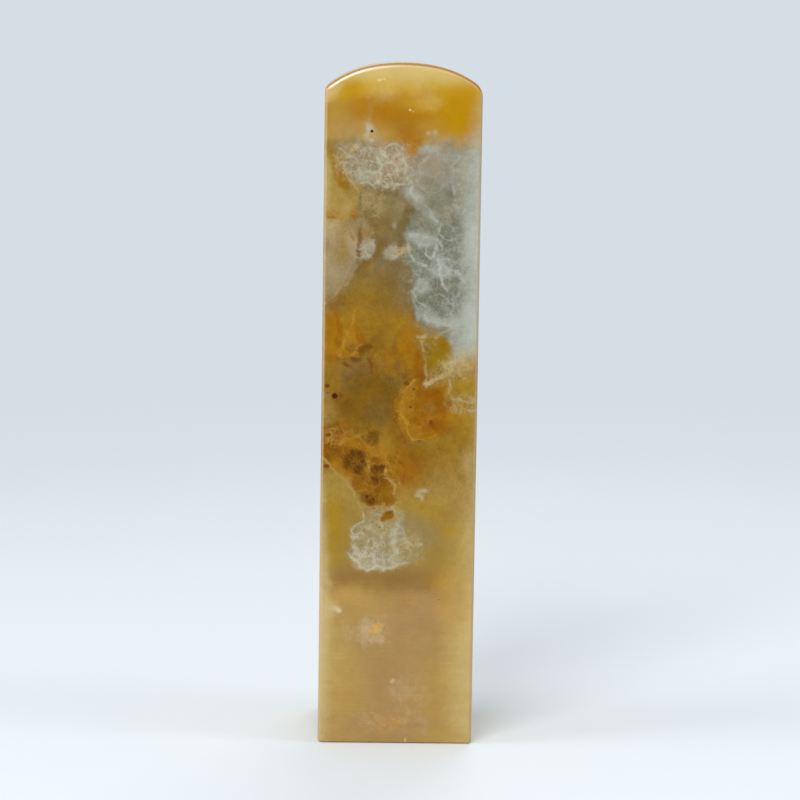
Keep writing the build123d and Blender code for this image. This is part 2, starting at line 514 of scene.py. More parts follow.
FLESH_ZONE = patches(
    (FLESH, -8.9, 62.9, 3.3, 6.6, -43, 0.05, 0.35),
    (FLESH_PALE, -9.2, 66.2, 1.3, 1.6, 0, 0.6, 0.6, 0.8),
    (FLESH_PALE, -6.5, 65.3, 0.7, 1.6, 12, 0.6, 0.7, 0.7),
    (FLESH_GREY, -8.6, 59.5, 1.5, 1.6, -40, 0.7, 0.6, 0.7),
    (HONEY_PALE, -8.3, 63.6, 0.7, 0.7, 0, 0.8, 0.6, 0.4),
    (FLESH_GREY, -6.4, 62.6, 0.8, 1.6, -30, 0.7, 0.6, 0.4),
    (FLESH_LILAC, -9.5, 64.4, 0.6, 2.6, 0, 0.8, 0.6, 0.5),
    (FLESH_LILAC, -8.0, 61.0, 1.8, 1.4, -40, 0.8, 0.8, 0.5),
    (HONEY_PALE, -7.4, 64.6, 0.7, 2.0, 0, 0.8, 0.8, 0.5),
    (FLESH_LILAC, -6.3, 64.9, 0.45, 1.5, 10, 0.6, 0.8, 0.7),
    (BROWN_BAND, -3.8, 63.6, 0.6, 1.9, -38, 0.6, 0.7, 0.9),
    (BROWN_BAND, -4.9, 61.9, 0.5, 1.5, -30, 0.6, 0.7, 0.8),
    (FLECK_GREY, -4.3, 64.3, 0.7, 1.1, -20, 0.4, 0.9, 0.6),
    (ORANGE_LINE, -4.9, 66.5, 0.9, 0.4, -30, 0.9, 0.9, 0.4),
    (BROWN_BAND, -5.35, 64.9, 0.28, 2.2, -2, 0.6, 0.8, 0.85),
    (OLIVE_BROWN, -4.6, 61.6, 0.7, 1.9, -38, 0.6, 0.6, 0.8),
    (OLIVE_BROWN, -7.6, 57.6, 1.8, 1.0, 40, 0.7, 0.6, 0.8),
    (FLECK_GREY, -1.0, 64.0, 0.9, 0.8, -25, 0.4, 1.4, 0.8),
    (STRIP_PALE, 0.3, 64.4, 1.1, 0.45, 10, 0.5, 1.4, 0.7),
    (OLIVE_DARK, 1.35, 58.6, 0.4, 3.0, 8, 0.6, 0.4, 0.7),
    (FLESH_GREY, -9.6, 56.4, 0.6, 0.6, 0, 0.7, 0.6, 0.6),
)
MIDDLE = patches(
    (HONEY_GOLD, -4.6, 57.8, 3.8, 2.6, 20, 0.8, 0.6, 0.8),
    (ORANGE, -9.2, 53.4, 2.0, 3.2, 0, 0.5, 0.6, 0.9),
    (ORANGE_LIGHT, -8.9, 51.2, 1.0, 0.9, 0, 0.8, 0.7, 0.7),
    (ORANGE_BROWN, -7.8, 54.2, 0.35, 2.0, 12, 0.7, 0.8, 0.9),
    (ORANGE_DEEP, -7.9, 52.2, 0.4, 1.0, 14, 0.7, 0.8, 0.7),
    (ORANGE_BROWN, -8.9, 50.0, 0.7, 0.9, 0, 0.8, 0.8, 0.7),
    (ORANGE_LIGHT, -5.9, 56.0, 0.7, 0.9, -30, 0.8, 0.7, 0.5),
    (ORANGE_LIGHT, -6.1, 52.6, 0.9, 2.7, 0, 0.15, 0.6),
    (ORANGE_LIGHT, -6.5, 51.2, 1.5, 0.9, 0, 0.2, 0.8),
    (ORANGE_BROWN, -5.2, 53.0, 0.45, 1.6, 14, 0.5, 0.7, 0.7),
    (HONEY_GOLD, -2.0, 54.6, 2.4, 1.4, 0, 0.9, 0.6, 0.7),
    (OLIVE_CLEAR, -2.9, 52.0, 1.0, 1.1, 0, 0.7, 0.6, 0.6),
    (ORANGE, -1.3, 50.6, 0.9, 1.6, 0, 0.8, 0.6, 0.6),
    (ORANGE_LIGHT, 0.5, 52.7, 1.0, 2.2, 6, 0.7, 0.5, 0.9),
    (ORANGE, 1.5, 50.2, 1.4, 2.0, 10, 0.6, 0.6, 0.8),
    (OLIVE_CLEAR, -0.6, 52.2, 0.35, 1.0, 0, 0.7, 0.7, 0.7),
    (ORANGE_BROWN, 2.6, 49.6, 0.7, 2.0, 8, 0.5, 0.6, 0.9),
    (ORANGE_DEEP, 2.7, 47.9, 0.6, 0.9, 8, 0.6, 0.7, 0.8),
    (BROWN_GREY, -0.3, 49.6, 0.5, 0.7, 0, 0.6, 0.8, 0.5),
    (YELLOW_OLIVE, 4.7, 51.0, 2.0, 2.6, 0, 0.15, 0.6),
    (OLIVE_CLEAR, 3.4, 51.8, 0.7, 0.9, 0, 0.6, 0.8, 0.5),
    (CLOUD_BROWN, 3.8, 54.4, 1.2, 0.6, -5, 0.5, 0.8, 0.8),
    (YELLOW_GOLD, 4.6, 50.3, 0.8, 0.6, 0, 0.8, 0.6, 0.8),
    (YELLOW_GOLD, 6.6, 46.6, 0.6, 0.6, 0, 0.7, 0.8, 0.5),
    (PINK_TAN, 8.7, 49.6, 1.4, 1.0, 30, 0.6, 0.6, 0.9),
    (COLUMN_GOLD, 8.6, 46.9, 1.6, 1.6, 0, 0.6, 0.7, 0.8),
    (ORANGE, 5.2, 46.4, 1.0, 1.4, 20, 0.6, 0.6, 0.7),
    (HONEY_GOLD, -9.2, 47.8, 1.3, 2.6, 0, 0.7, 0.5, 0.7),
    (OLIVE_BROWN, -5.2, 48.6, 2.3, 1.9, 0, 0.6, 0.7, 0.8),
    (BROWN_LILAC, -5.2, 49.0, 1.5, 0.8, 0, 0.7, 1.0, 0.7),
    (BROWN_LILAC, -6.6, 47.8, 0.8, 0.6, 0, 0.8, 1.0, 0.5),
    (ORANGE_BROWN, -3.4, 49.4, 0.4, 1.2, 12, 0.7, 0.9, 0.7),
    (BROWN_LILAC, -1.7, 47.2, 1.5, 0.6, 0, 0.7, 1.0, 0.7),
    (OLIVE_CLEAR, -4.2, 45.2, 4.2, 3.2, 0, 0.3, 0.6),
    (OLIVE_GREY, -2.6, 43.4, 1.6, 1.8, 0, 0.7, 0.6, 0.6),
    (OLIVE_GREY, -6.4, 46.8, 1.2, 0.9, 0, 0.7, 0.8, 0.5),
    (YELLOW_OLIVE, -6.2, 47.3, 0.3, 0.3, 0, 0.6, 0.8, 0.8),
    (OLIVE_CLEAR, -5.6, 41.7, 2.4, 1.0, 0, 0.4, 0.7, 0.8),
    (HONEY_PALE, -9.4, 43.4, 0.9, 2.2, 0, 0.7, 0.5, 0.8),
    (FLESH_PALE, -10.2, 53.0, 0.5, 11.0, 0, 0.8, 0.5, 0.7),
    (ORANGE_BROWN, -7.4, 41.9, 1.0, 0.4, 10, 0.6, 0.8, 0.7),
)
FLAME_ZONE = patches(
    (ORANGE_DEEP, 0.0, 41.4, 1.0, 3.0, 6, 0.7, 0.6, 0.6),
    (FLAME, 3.2, 43.4, 3.6, 3.4, -20, 0.08, 0.5),
    (FLAME, 1.6, 46.4, 1.1, 1.9, -8, 0.08, 0.6),
    (FLAME, 0.6, 44.2, 1.4, 1.3, -30, 0.08, 0.7),
    (FLAME, 2.8, 41.0, 2.0, 1.3, 0, 0.08, 0.6),
    (FLAME_PALE, 0.9, 45.6, 0.6, 1.5, -20, 0.6, 1.4, 0.5),
    (FLAME_PALE, 0.6, 43.6, 0.9, 0.5, 0, 0.6, 1.4, 0.5),
    (FLAME_PALE, 1.9, 40.9, 1.2, 0.7, 0, 0.6, 1.4, 0.4),
    (FLAME_PALE, 3.2, 42.4, 1.2, 0.5, 40, 0.7, 1.4, 0.25),
    (BROWN_GREY, 4.0, 44.0, 0.6, 0.6, 0, 0.6, 0.9, 0.6),
    (ORANGE_BROWN, 3.4, 46.0, 0.7, 1.2, 25, 0.6, 0.7, 0.7),
    (ORANGE_DEEP, 5.4, 44.6, 0.7, 1.7, 30, 0.7, 0.8, 0.8),
    (ORANGE_DEEP, 4.4, 41.6, 1.2, 0.6, 20, 0.7, 0.9, 0.7),
    (ORANGE, 7.4, 43.2, 1.4, 1.6, 0, 0.7, 0.7, 0.8),
    (ORANGE_BROWN, 5.6, 41.0, 1.4, 0.5, 15, 0.7, 0.7, 0.6),
    (BROWN_GREY, 2.2, 39.4, 1.8, 0.5, 10, 0.7, 0.8, 0.5),
    (YELLOW_OLIVE, 2.4, 38.3, 1.2, 0.6, 0, 0.8, 0.6, 0.8),
    (OLIVE_CLEAR, 4.8, 38.4, 1.6, 0.8, 15, 0.8, 0.7, 0.5),
    (ORANGE_BROWN, 3.4, 35.6, 2.2, 1.2, 8, 0.9, 0.6, 0.5),
    (COLUMN_PALE, 9.2, 37.0, 1.1, 2.0, 0, 0.7, 0.5, 0.9),
    (COLUMN_GOLD, 9.4, 41.4, 1.7, 2.8, 0, 0.7, 0.6, 0.9),
)
NEST = patches(
    (ORANGE_BROWN, 0.8, 36.0, 2.2, 2.4, 0, 0.8, 0.6, 0.8),
    (RUST, -8.6, 39.4, 2.3, 2.5, 0, 0.15, 0.7),
    (RUST, -4.6, 37.6, 3.6, 2.5, -20, 0.12, 0.7),
    (RUST, -3.2, 34.6, 3.0, 2.6, -38, 0.12, 0.7),
    (RUST, -2.4, 32.4, 2.2, 1.5, 0, 0.12, 0.7),
    (ORANGE_LIGHT, -6.4, 39.4, 1.9, 0.5, -8, 0.5, 0.9, 0.8),
    (ORANGE_LIGHT, -8.0, 36.6, 1.0, 0.7, -35, 0.6, 0.8, 0.7),
    (ORANGE_LIGHT, -6.4, 35.2, 0.8, 0.5, -40, 0.6, 0.8, 0.8),
    (ORANGE_DEEP, -8.4, 38.2, 1.3, 0.7, -15, 0.6, 0.8, 0.8),
    (ORANGE_DEEP, -9.0, 40.6, 0.5, 0.4, 0, 0.6, 0.8, 0.7),
    (RUST_LACE, -3.4, 38.3, 1.1, 0.7, -15, 0.6, 0.9, 0.8),
    (RUST_LACE, -2.0, 38.6, 0.5, 1.0, 5, 0.6, 0.9, 0.5),
    (RUST_LACE, -1.8, 37.0, 0.4, 0.7, 5, 0.6, 0.9, 0.4),
    (RUST_LACE, -4.6, 34.8, 1.2, 0.8, -40, 0.6, 0.9, 0.5),
    (GOLDEN_CELL, -4.8, 33.9, 0.9, 0.7, -30, 0.6, 0.9, 0.6),
    (RUST_DEEP, -3.0, 33.9, 2.2, 2.0, -30, 0.7, 0.9, 0.8),
    (RUST_DEEP, -7.2, 38.2, 1.8, 0.8, -20, 0.7, 0.9, 0.8),
    (RUST_DEEP, -4.8, 36.9, 2.4, 1.8, -25, 0.7, 0.9, 0.7),
)
CELLS = patches(
    (GREY_CELL, -3.4, 40.2, 1.2, 1.0, 20, 0.4, 1.0, 0.9),
    (GREY_CELL, -4.7, 39.8, 0.8, 0.6, 0, 0.5, 1.0, 0.8),
    (BROWN, -3.2, 40.7, 0.7, 0.4, 0, 0.8, 1.0, 0.5),
    (DARK_CELL, -5.2, 37.6, 1.4, 1.2, -20, 0.3, 1.0, 1),
    (DARK_CELL, -6.6, 36.9, 0.6, 0.9, 0, 0.4, 0.8, 0.7),
    (DARK_CELL, -4.9, 36.2, 0.8, 0.6, -20, 0.4, 0.8, 0.8),
    (RED_CELL, -5.3, 35.8, 0.5, 0.35, 0, 0.5, 0.8, 0.8),
    (RED_CELL, -5.2, 37.3, 0.6, 0.4, 0, 0.8, 0.8, 0.6),
    (DARK_CELL, -2.7, 36.0, 1.05, 0.85, 0, 0.3, 1.0, 1),
    (DARK_CELL, -2.8, 34.9, 1.0, 0.7, 0, 0.5, 1.0, 0.8),
    (GOLDEN_CELL, -1.0, 37.4, 0.9, 0.55, -5, 0.3, 0.8, 0.9),
    (GOLDEN_CELL, -0.5, 35.9, 0.5, 0.5, 0, 0.5, 0.8, 0.7),
    (GOLDEN_CELL, -1.6, 33.5, 0.9, 0.95, 0, 0.3, 0.8, 0.95),
    (ORANGE_DEEP, -1.8, 34.0, 0.6, 0.5, 0, 0.7, 0.8, 0.7),
    (GREY_CELL, -3.9, 32.4, 1.1, 0.8, 0, 0.3, 0.8, 0.8),
    (DARK_CELL, -3.2, 31.9, 0.8, 0.55, 0, 0.4, 0.8, 0.7),
    (GOLDEN_CELL, -1.9, 32.0, 0.7, 0.6, 0, 0.5, 0.8, 0.7),
)
COLUMNS = patches(
    (COLUMN_DULL, -6.4, 29.8, 3.6, 5.6, -10, 0.3, 0.5),
    (COLUMN_GOLD, -8.8, 29.6, 1.8, 5.4, 0, 0.7, 0.5),
    (COLUMN_DULL, -8.4, 33.8, 1.6, 1.5, -20, 0.6, 0.6, 0.8),
    (COLUMN_PALE, -9.8, 26.0, 0.7, 8.0, 0, 0.8, 0.4, 0.9),
    (PINK_TAN, -9.3, 35.4, 0.9, 0.5, -20, 0.8, 0.6, 0.6),
    (COLUMN_TAN, 4.6, 31.0, 4.4, 4.6, 0, 0.7, 0.5, 0.8),
    (PINK_TAN, 7.4, 33.4, 2.8, 4.2, 0, 0.9, 0.5, 0.5),
    (COLUMN_GOLD, 3.6, 30.6, 2.4, 1.6, 0, 0.9, 0.5, 0.5),
    (COLUMN_GOLD, 8.2, 28.0, 2.4, 0.45, -2, 0.8, 0.5, 0.9),
    (COLUMN_GOLD, 6.4, 27.6, 1.2, 0.3, 8, 0.8, 0.5, 0.7),
    (COLUMN_DULL, 4.6, 25.4, 1.4, 1.9, 0, 0.7, 0.6, 0.7),
    (COLUMN_GOLD, 8.4, 24.2, 1.2, 1.8, 0, 0.8, 0.5, 0.7),
    (COLUMN_PALE, 10.0, 26.0, 0.9, 16.0, 0, 0.9, 0.3, 0.8),
)
FOAM_ZONE = patches(
    (FOAM_CLEAR, 2.4, 28.2, 3.0, 1.7, -25, 0.6, 0.6, 0.8),
    (FOAM, -2.6, 25.8, 3.5, 2.9, 0, 0.06, 0.7),
    (FOAM_GOLD, 0.9, 25.3, 2.4, 1.6, 0, 0.25, 0.9, 0.9),
    (FOAM_GOLD, -2.1, 29.2, 2.5, 2.0, 10, 0.12, 1.2),
    (FOAM, -4.6, 28.0, 1.4, 1.1, 0, 0.1, 0.8),
    (FOAM, -5.6, 24.9, 0.9, 0.5, 30, 0.2, 0.8),
    (CLOUD_GREY, 0.0, 27.9, 0.9, 1.5, -10, 0.6, 0.9, 0.7),
    (FOAM_ROSE, -3.4, 24.3, 2.0, 1.3, 0, 0.5, 0.9, 0.5),
    (FOAM_ROSE, -0.2, 24.1, 1.2, 0.8, 0, 0.6, 0.9, 0.6),
    (FOAM_GOLD, -4.4, 27.4, 0.9, 0.9, 0, 0.6, 0.9, 0.8),
    (FOAM_WHITE, -0.5, 25.6, 0.4, 1.6, -4, 0.7, 1.6, 0.35),
    (FOAM_WHITE, -5.0, 24.6, 0.5, 1.0, 25, 0.7, 1.6, 0.3),
    (FOAM_WHITE, -3.0, 23.2, 2.0, 0.35, 0, 0.7, 1.2, 0.5),
    (FOAM_SHADE, -2.7, 26.5, 0.8, 0.55, 0, 0.5, 0.8, 0.8),
    (CLOUD_GREY, -2.0, 24.4, 1.3, 0.7, 5, 0.5, 0.9, 0.9),
    (FOAM_SHADE, -3.9, 30.7, 0.5, 0.4, 0, 0.5, 0.8, 0.6),
    (FOAM_SHADE, -2.6, 30.5, 0.7, 0.5, 0, 0.5, 0.8, 0.5),
    (FOAM_CLEAR, 1.8, 25.0, 1.4, 0.9, 0, 0.6, 0.8, 0.7),
    (FOAM_CLEAR, -0.2, 25.1, 0.5, 0.5, 0, 0.6, 0.8, 0.6),
)
LOWER = patches(
    (BAND_TAN, -1.2, 21.6, 5.4, 1.2, 0, 0.9, 0.6, 0.9),
    (CAP_GOLD, 6.8, 21.4, 2.2, 1.3, 0, 0.9, 0.5, 0.5),
    (FOOT_GOLD, -6.6, 19.4, 2.6, 1.2, 0, 0.9, 0.5, 0.8),
    (FOOT_GOLD, -3.6, 18.0, 3.2, 2.6, 0, 0.9, 0.5, 0.5),
    (FOOT_ROSE, 1.8, 16.5, 3.6, 3.0, 0, 0.9, 0.5, 0.6),
    (FOOT_ROSE, 0.2, 8.6, 3.6, 5.5, 0, 0.9, 0.5, 0.5),
    (FOOT_GOLD, 6.0, 6.0, 3.2, 6.0, 0, 0.9, 0.5, 0.6),
    (FOOT_GOLD, -6.6, 6.4, 2.4, 5.2, 0, 0.9, 0.5, 0.6),
    # Painted glow: paler bands low along both side edges, for light coming through the sides
    (CREAM_AND_SIDE_GLOW, -9.9, 12.0, 1.3, 11.5, 0, 0.8, 0.4),
    (CREAM_AND_SIDE_GLOW, -9.6, 17.6, 1.9, 1.2, 0, 0.6, 0.5, 0.7),
    (SIDE_GLOW_GOLD, 9.9, 12.0, 2.6, 13.5, 0, 0.9, 0.5, 0.9),
    (FOOT_AMBER, 7.4, 18.6, 2.0, 3.6, 0, 0.9, 0.9, 0.7),
    (FOOT_AMBER, 7.6, 10.0, 1.6, 4.0, 0, 0.9, 0.9, 0.25),
    (FOOT_CREAM, -7.6, 11.0, 1.6, 5.0, 0, 0.9, 0.8, 0.6),
    (PINK_CREAM, -3.8, 15.3, 0.9, 0.8, 0, 0.6, 2.0, 0.48),
    (PINK_CREAM, -2.7, 13.8, 1.3, 0.6, -8, 0.6, 2.0, 0.48),
    (PINK_CREAM, -4.2, 13.8, 0.6, 0.9, 0, 0.6, 2.0, 0.32),
    (PINK_CREAM, -6.3, 14.4, 0.7, 1.0, 0, 0.8, 2.0, 0.16),
    (SPECK_GOLD, -2.7, 15.0, 0.7, 0.5, 15, 0.5, 1.4, 0.95),
    (SPECK_GOLD, -2.3, 15.6, 0.5, 0.25, 10, 0.6, 1.2, 0.8),
    (PINK_CREAM, -0.5, 6.9, 0.35, 0.7, 0, 0.9, 0.9, 0.4),
    (PINK_CREAM, 1.0, 7.2, 1.2, 0.7, -40, 0.6, 2.0, 0.3),
    (PINK_CREAM, 3.6, 2.6, 0.6, 0.9, 0, 0.6, 2.0, 0.3),
    (FOOT_ROSE, -1.0, 2.6, 4.4, 1.8, 0, 0.8, 1.6, 0.7),
    (SPECK_ORANGE, -1.4, 2.6, 2.4, 1.1, 10, 0.5, 2.4, 0.25),
    (FOOT_GOLD, 0.8, 2.9, 0.7, 0.4, 0, 0.9, 0.9, 0.5),
    (BAND_TAN, 2.2, 2.4, 1.4, 0.4, 0, 0.9, 0.9, 0.4),
    (FOOT_GOLD, 7.0, 1.0, 2.2, 0.5, 0, 0.9, 0.9, 0.6),
)


def deep_patch(colour, place, half_size, tilt=0, soft=0.5, ragged=1.5, strength=0.8):
    """A patch with its middle anywhere in the stone, tilted as one on the front is."""
    return colour, place, half_size, radians(tilt), soft, ragged, strength


def deep_patches(*rows):
    """Patches in the stone, from rows that hold what deep_patch() takes, in its order."""
    return [deep_patch(*row) for row in rows]


# What comes out on the back and on the two sides, where the photograph doesn't show them
FAR_SIDES = deep_patches(
    (CAP_DEEP, (5, 8, 81.6), (8, 8, 2.3), -7),
    (CAP_BROWN, (-6, 7, 80.6), (7, 8, 1.9), 8),
    (CAP_STRAW, (-1, 8, 84), (8, 8, 1.2), 6),
    (CREAM_GLOW, (-3.4, 2, 87.2), (3.4, 5, 1.4), 8, 0.5, 1.5, 0.7),
    (CAP_FAWN, (4.6, -1, 86.6), (2.8, 4.5, 1.5), -10, 0.5),
    (CAP_GOLD, (1.4, 6, 87.4), (3.2, 3.4, 1.4), 0, 0.5),
    (CAP_BROWN, (-7, 3, 85), (2.2, 4.5, 1.4), 20, 0.5, 1.5, 0.6),
    (WEDGE_BROWN, (3, 10, 78.4), (3.4, 6, 2.2), 20),
    (VEIN_OCHRE, (-10, 1, 76), (4, 9, 1.8), 0, 0.4),
    (CLOUD, (-4, 10, 75.6), (8, 6, 3.6), 14, 0.15, 1.5, 0.9),
    (CLOUD_ROSE, (-2, 10, 75.4), (3.6, 5, 1.6), 20),
    (MILK_TOP, (5, 8, 73), (9, 8, 4.6), -20, 0.3, 1.4, 0.9),
    (STRIP_TAN, (-10, 2, 71), (4, 9, 4.6), 0, 0.3),
    (VEIN_DEEP, (-10, 4, 73.6), (3, 6, 1.1), 0, 0.5),
    (MILK_GREEN, (-3, 9, 67), (9, 8, 7), 26, 0.08, 1.2, 1),
    (MILK_GREEN, (10, 1, 63), (5, 10, 11), 0, 0.1, 1.1, 0.95),
    (MILK_GREY, (-5, 10, 63), (5, 5, 5), 40, 0.4),
    (MILK_ROSE, (1, 10, 71.6), (5, 5, 2.4), 32),
    (MILK_WHITE, (-4.4, 10, 66), (1.8, 4, 5), 24),
    (MILK_WHITE, (10, -3, 66), (2, 3, 7), 0),
    (MILK_GREY, (10, 5, 68), (3, 5, 4)),
    (MILK_ROSE, (10, 4, 60), (3, 4, 3)),
    (MILK_CELL, (-1, 10, 66.4), (1.8, 3, 1.4), 20, 0.4),
    (MILK_CELL, (-3, 10, 69.6), (2.2, 3, 1), 30, 0.4),
    (MILK_CELL, (-6.4, 10, 64.4), (1.2, 3, 1.8), 20, 0.4),
    (MILK_CELL, (10, 3, 64), (2, 2.4, 1.6), 0, 0.4),
    (MILK_CELL, (10, -1, 58.6), (2, 1.8, 2.2), 0, 0.4),
    (OLIVE, (8, 9, 69), (5, 7, 6), -28, 0.15),
    (FLESH, (-10, 0, 63), (4, 10, 6.4), 0, 0.08, 0.9, 1),
    (FLESH_LILAC, (-10, 4, 61), (3, 5, 3.4)),
    (FLESH_PALE, (-10, -4, 66), (2, 4, 2.2)),
    (ORANGE_LINE, (-10, 1, 69), (2, 8, 0.6)),
    (TAUPE, (5, 9, 60.4), (9, 8, 5), -24, 0.2, 1.4, 0.9),
    (BROWN_BAND, (0, 10, 61), (6, 5, 0.8), -40, 0.5, 1.4),
    (HONEY_GOLD, (-3, 8, 55.4), (10, 9, 4.6), 10, 0.4),
    (ORANGE, (5.6, 10, 52.4), (6, 6, 4), 26),
    (ORANGE, (-10, 3, 53), (4, 9, 4.4)),
    (ORANGE_LIGHT, (3, 10, 54), (4, 5, 1.6), 30),
    (ORANGE_LIGHT, (-10, -2, 51.4), (3, 5, 1.8)),
    (ORANGE_BROWN, (-4, 10, 51), (5.4, 5, 2.2), -22),
    (BROWN_LILAC, (-5.4, 10, 48.6), (4, 4, 1.5), 14),
    (YELLOW_OLIVE, (4, 10, 47.6), (6, 5, 2.8), -16, 0.3),
    (YELLOW_OLIVE, (10, 4, 50), (4, 8, 3.4), 0, 0.3),
    (PALE_LACE, (10, -1, 53), (2, 8, 1), 0, 0.6, 1.8),
    (OLIVE_CLEAR, (-3, 8, 44.8), (10, 9, 3.8), 8, 0.2),
    (OLIVE_BROWN, (-10, 5, 48), (4, 6, 2.4)),
    (ORANGE_DEEP, (10, 4, 44), (4, 8, 3)),
    (FLAME, (5.6, 10, 42.4), (4.6, 5, 5), -28, 0.08, 1.1, 0.95),
    (FLAME_PALE, (4.6, 10, 41.6), (3.2, 4, 1.3), -34, 0.5),
    (RUST, (-4, 10, 37.6), (7, 5, 3.4), -24, 0.1, 1.2, 0.95),
    (RUST, (-10, 0, 38.8), (4, 8, 3.2), 0, 0.1, 1.2, 0.95),
    (RUST_DEEP, (-3, 10, 37), (4.4, 4, 2), -24),
    (RUST_DEEP, (-10, 1, 38.2), (3, 5, 1.7)),
    (DARK_CELL, (-4.6, 10, 38), (1.8, 2, 1.1), -20, 0.3),
    (DARK_CELL, (-1.4, 10, 36), (1.5, 2, 0.9), 10, 0.3),
    (DARK_CELL, (-10, 2.4, 37.8), (2, 1.8, 1), 0, 0.3),
    (COLUMN_TAN, (5, 8, 32), (8, 9, 5.4), 10, 0.7, 1),
    (COLUMN_DULL, (-5, 8, 29), (6, 8, 5.4), 24),
    (COLUMN_GOLD, (-10, 1, 28), (3, 9, 4.6)),
    (COLUMN_GOLD, (10, 3, 29), (3, 9, 4.6)),
    (FOAM, (2, 10, 27.4), (4.6, 5, 3.6), 18, 0.06, 1.1, 1),
    (FOAM_GOLD, (4.4, 10, 29), (3.4, 4, 1.8), 22, 0.3),
    (FOAM_ROSE, (1, 10, 25.4), (3, 4, 1.3), 6),
    (CLOUD_GREY, (2, 10, 27.4), (1.8, 3, 1), 20, 0.4),
    (BAND_TAN, (1, 9, 21.4), (9, 8, 1.3), 4, 0.8),
    (FOOT_ROSE, (1, 9, 10), (5, 8, 8), 20, 0.9, 1.2, 0.7),
    (FOOT_GOLD, (-7, 8, 8), (4, 9, 8), -8, 0.9, 1.2, 0.7),
    (FOOT_AMBER, (8, 6, 15), (4, 9, 6), 10, 0.9, 1.2, 0.6),
    # Painted glow low on the left side, for light coming through it
    (CREAM_AND_SIDE_GLOW, (-10, -6, 12), (2, 5, 10), 0, 0.9, 0.9, 0.6),
    (PINK_CREAM, (4, 10, 13), (2, 4, 1), 20, 0.6, 2, 0.6),
)

FIGURE = (
    ("far_figure_and_side_glow", FAR_SIDES),
    ("cap_figure_and_top_light", CAP),
    ("upper_left_figure", UPPER_LEFT),
    ("cloud_figure", LACE_CLOUD),
    ("milk_figure", MILK),
    ("flesh_figure", FLESH_ZONE),
    ("middle_figure", MIDDLE),
    ("flame_figure", FLAME_ZONE),
    ("column_figure", COLUMNS),
    ("nest_figure", NEST),
    ("cell_figure", CELLS),
    ("foam_figure", FOAM_ZONE),
    ("lower_figure_and_side_glow", LOWER),
)

# Lace, whose threads show where these patches lie
COARSE_LACE = (
    patch(BLUE_WHITE, 5.4, 73.4, 5.2, 4.4, 0, 0.5, 0.5, 0.3),
    patch(BLUE_WHITE, 5.0, 65.0, 4.4, 3.6, 0, 0.4, 0.5, 0.35),
    patch(BLUE_WHITE, 5.6, 59.0, 4.6, 5.6, 0, 0.3, 0.5, 0.25),
    patch(BLUE_WHITE, 8.0, 61.0, 2.2, 10.0, 0, 0.5, 0.5, 0.3),
    deep_patch(BLUE_WHITE, (-2.6, 10, 67.6), (8, 5, 7), 26, 0.4, 0.7, 0.6),
    deep_patch(BLUE_WHITE, (10, 1, 64), (3, 8, 9), 0, 0.4, 0.7, 0.5),
)
MIDDLE_LACE = patches(
    (LACE_CREAM, -4.4, 75.4, 3.9, 3.2, -8, 0.3, 0.8, 0.4),
    (LACE_CREAM, -1.0, 75.2, 2.6, 3.0, 0, 0.2, 0.8, 0.35),
    (BLUE_WHITE, 3.6, 63.4, 2.8, 3.4, 0, 0.3, 0.6, 0.4),
    (BLUE_WHITE, 5.4, 56.2, 3.4, 1.9, -8, 0.3, 0.7, 0.45),
    (PALE_LACE, 7.2, 49.9, 3.2, 1.5, 35, 0.5, 0.8, 0.7),
    (PALE_LACE, 3.4, 52.4, 1.2, 1.4, 0, 0.6, 0.7, 0.4),
    (PALE_LACE, 8.4, 44.6, 2.0, 1.3, 0, 0.4, 0.7, 0.8),
    (FLAME_LACE, -6.6, 52.0, 1.7, 2.4, 0, 0.4, 0.7, 0.3),
    (STRIP_PALE, -7.6, 69.6, 2.2, 2.4, 0, 0.6, 0.7, 0.35),
)
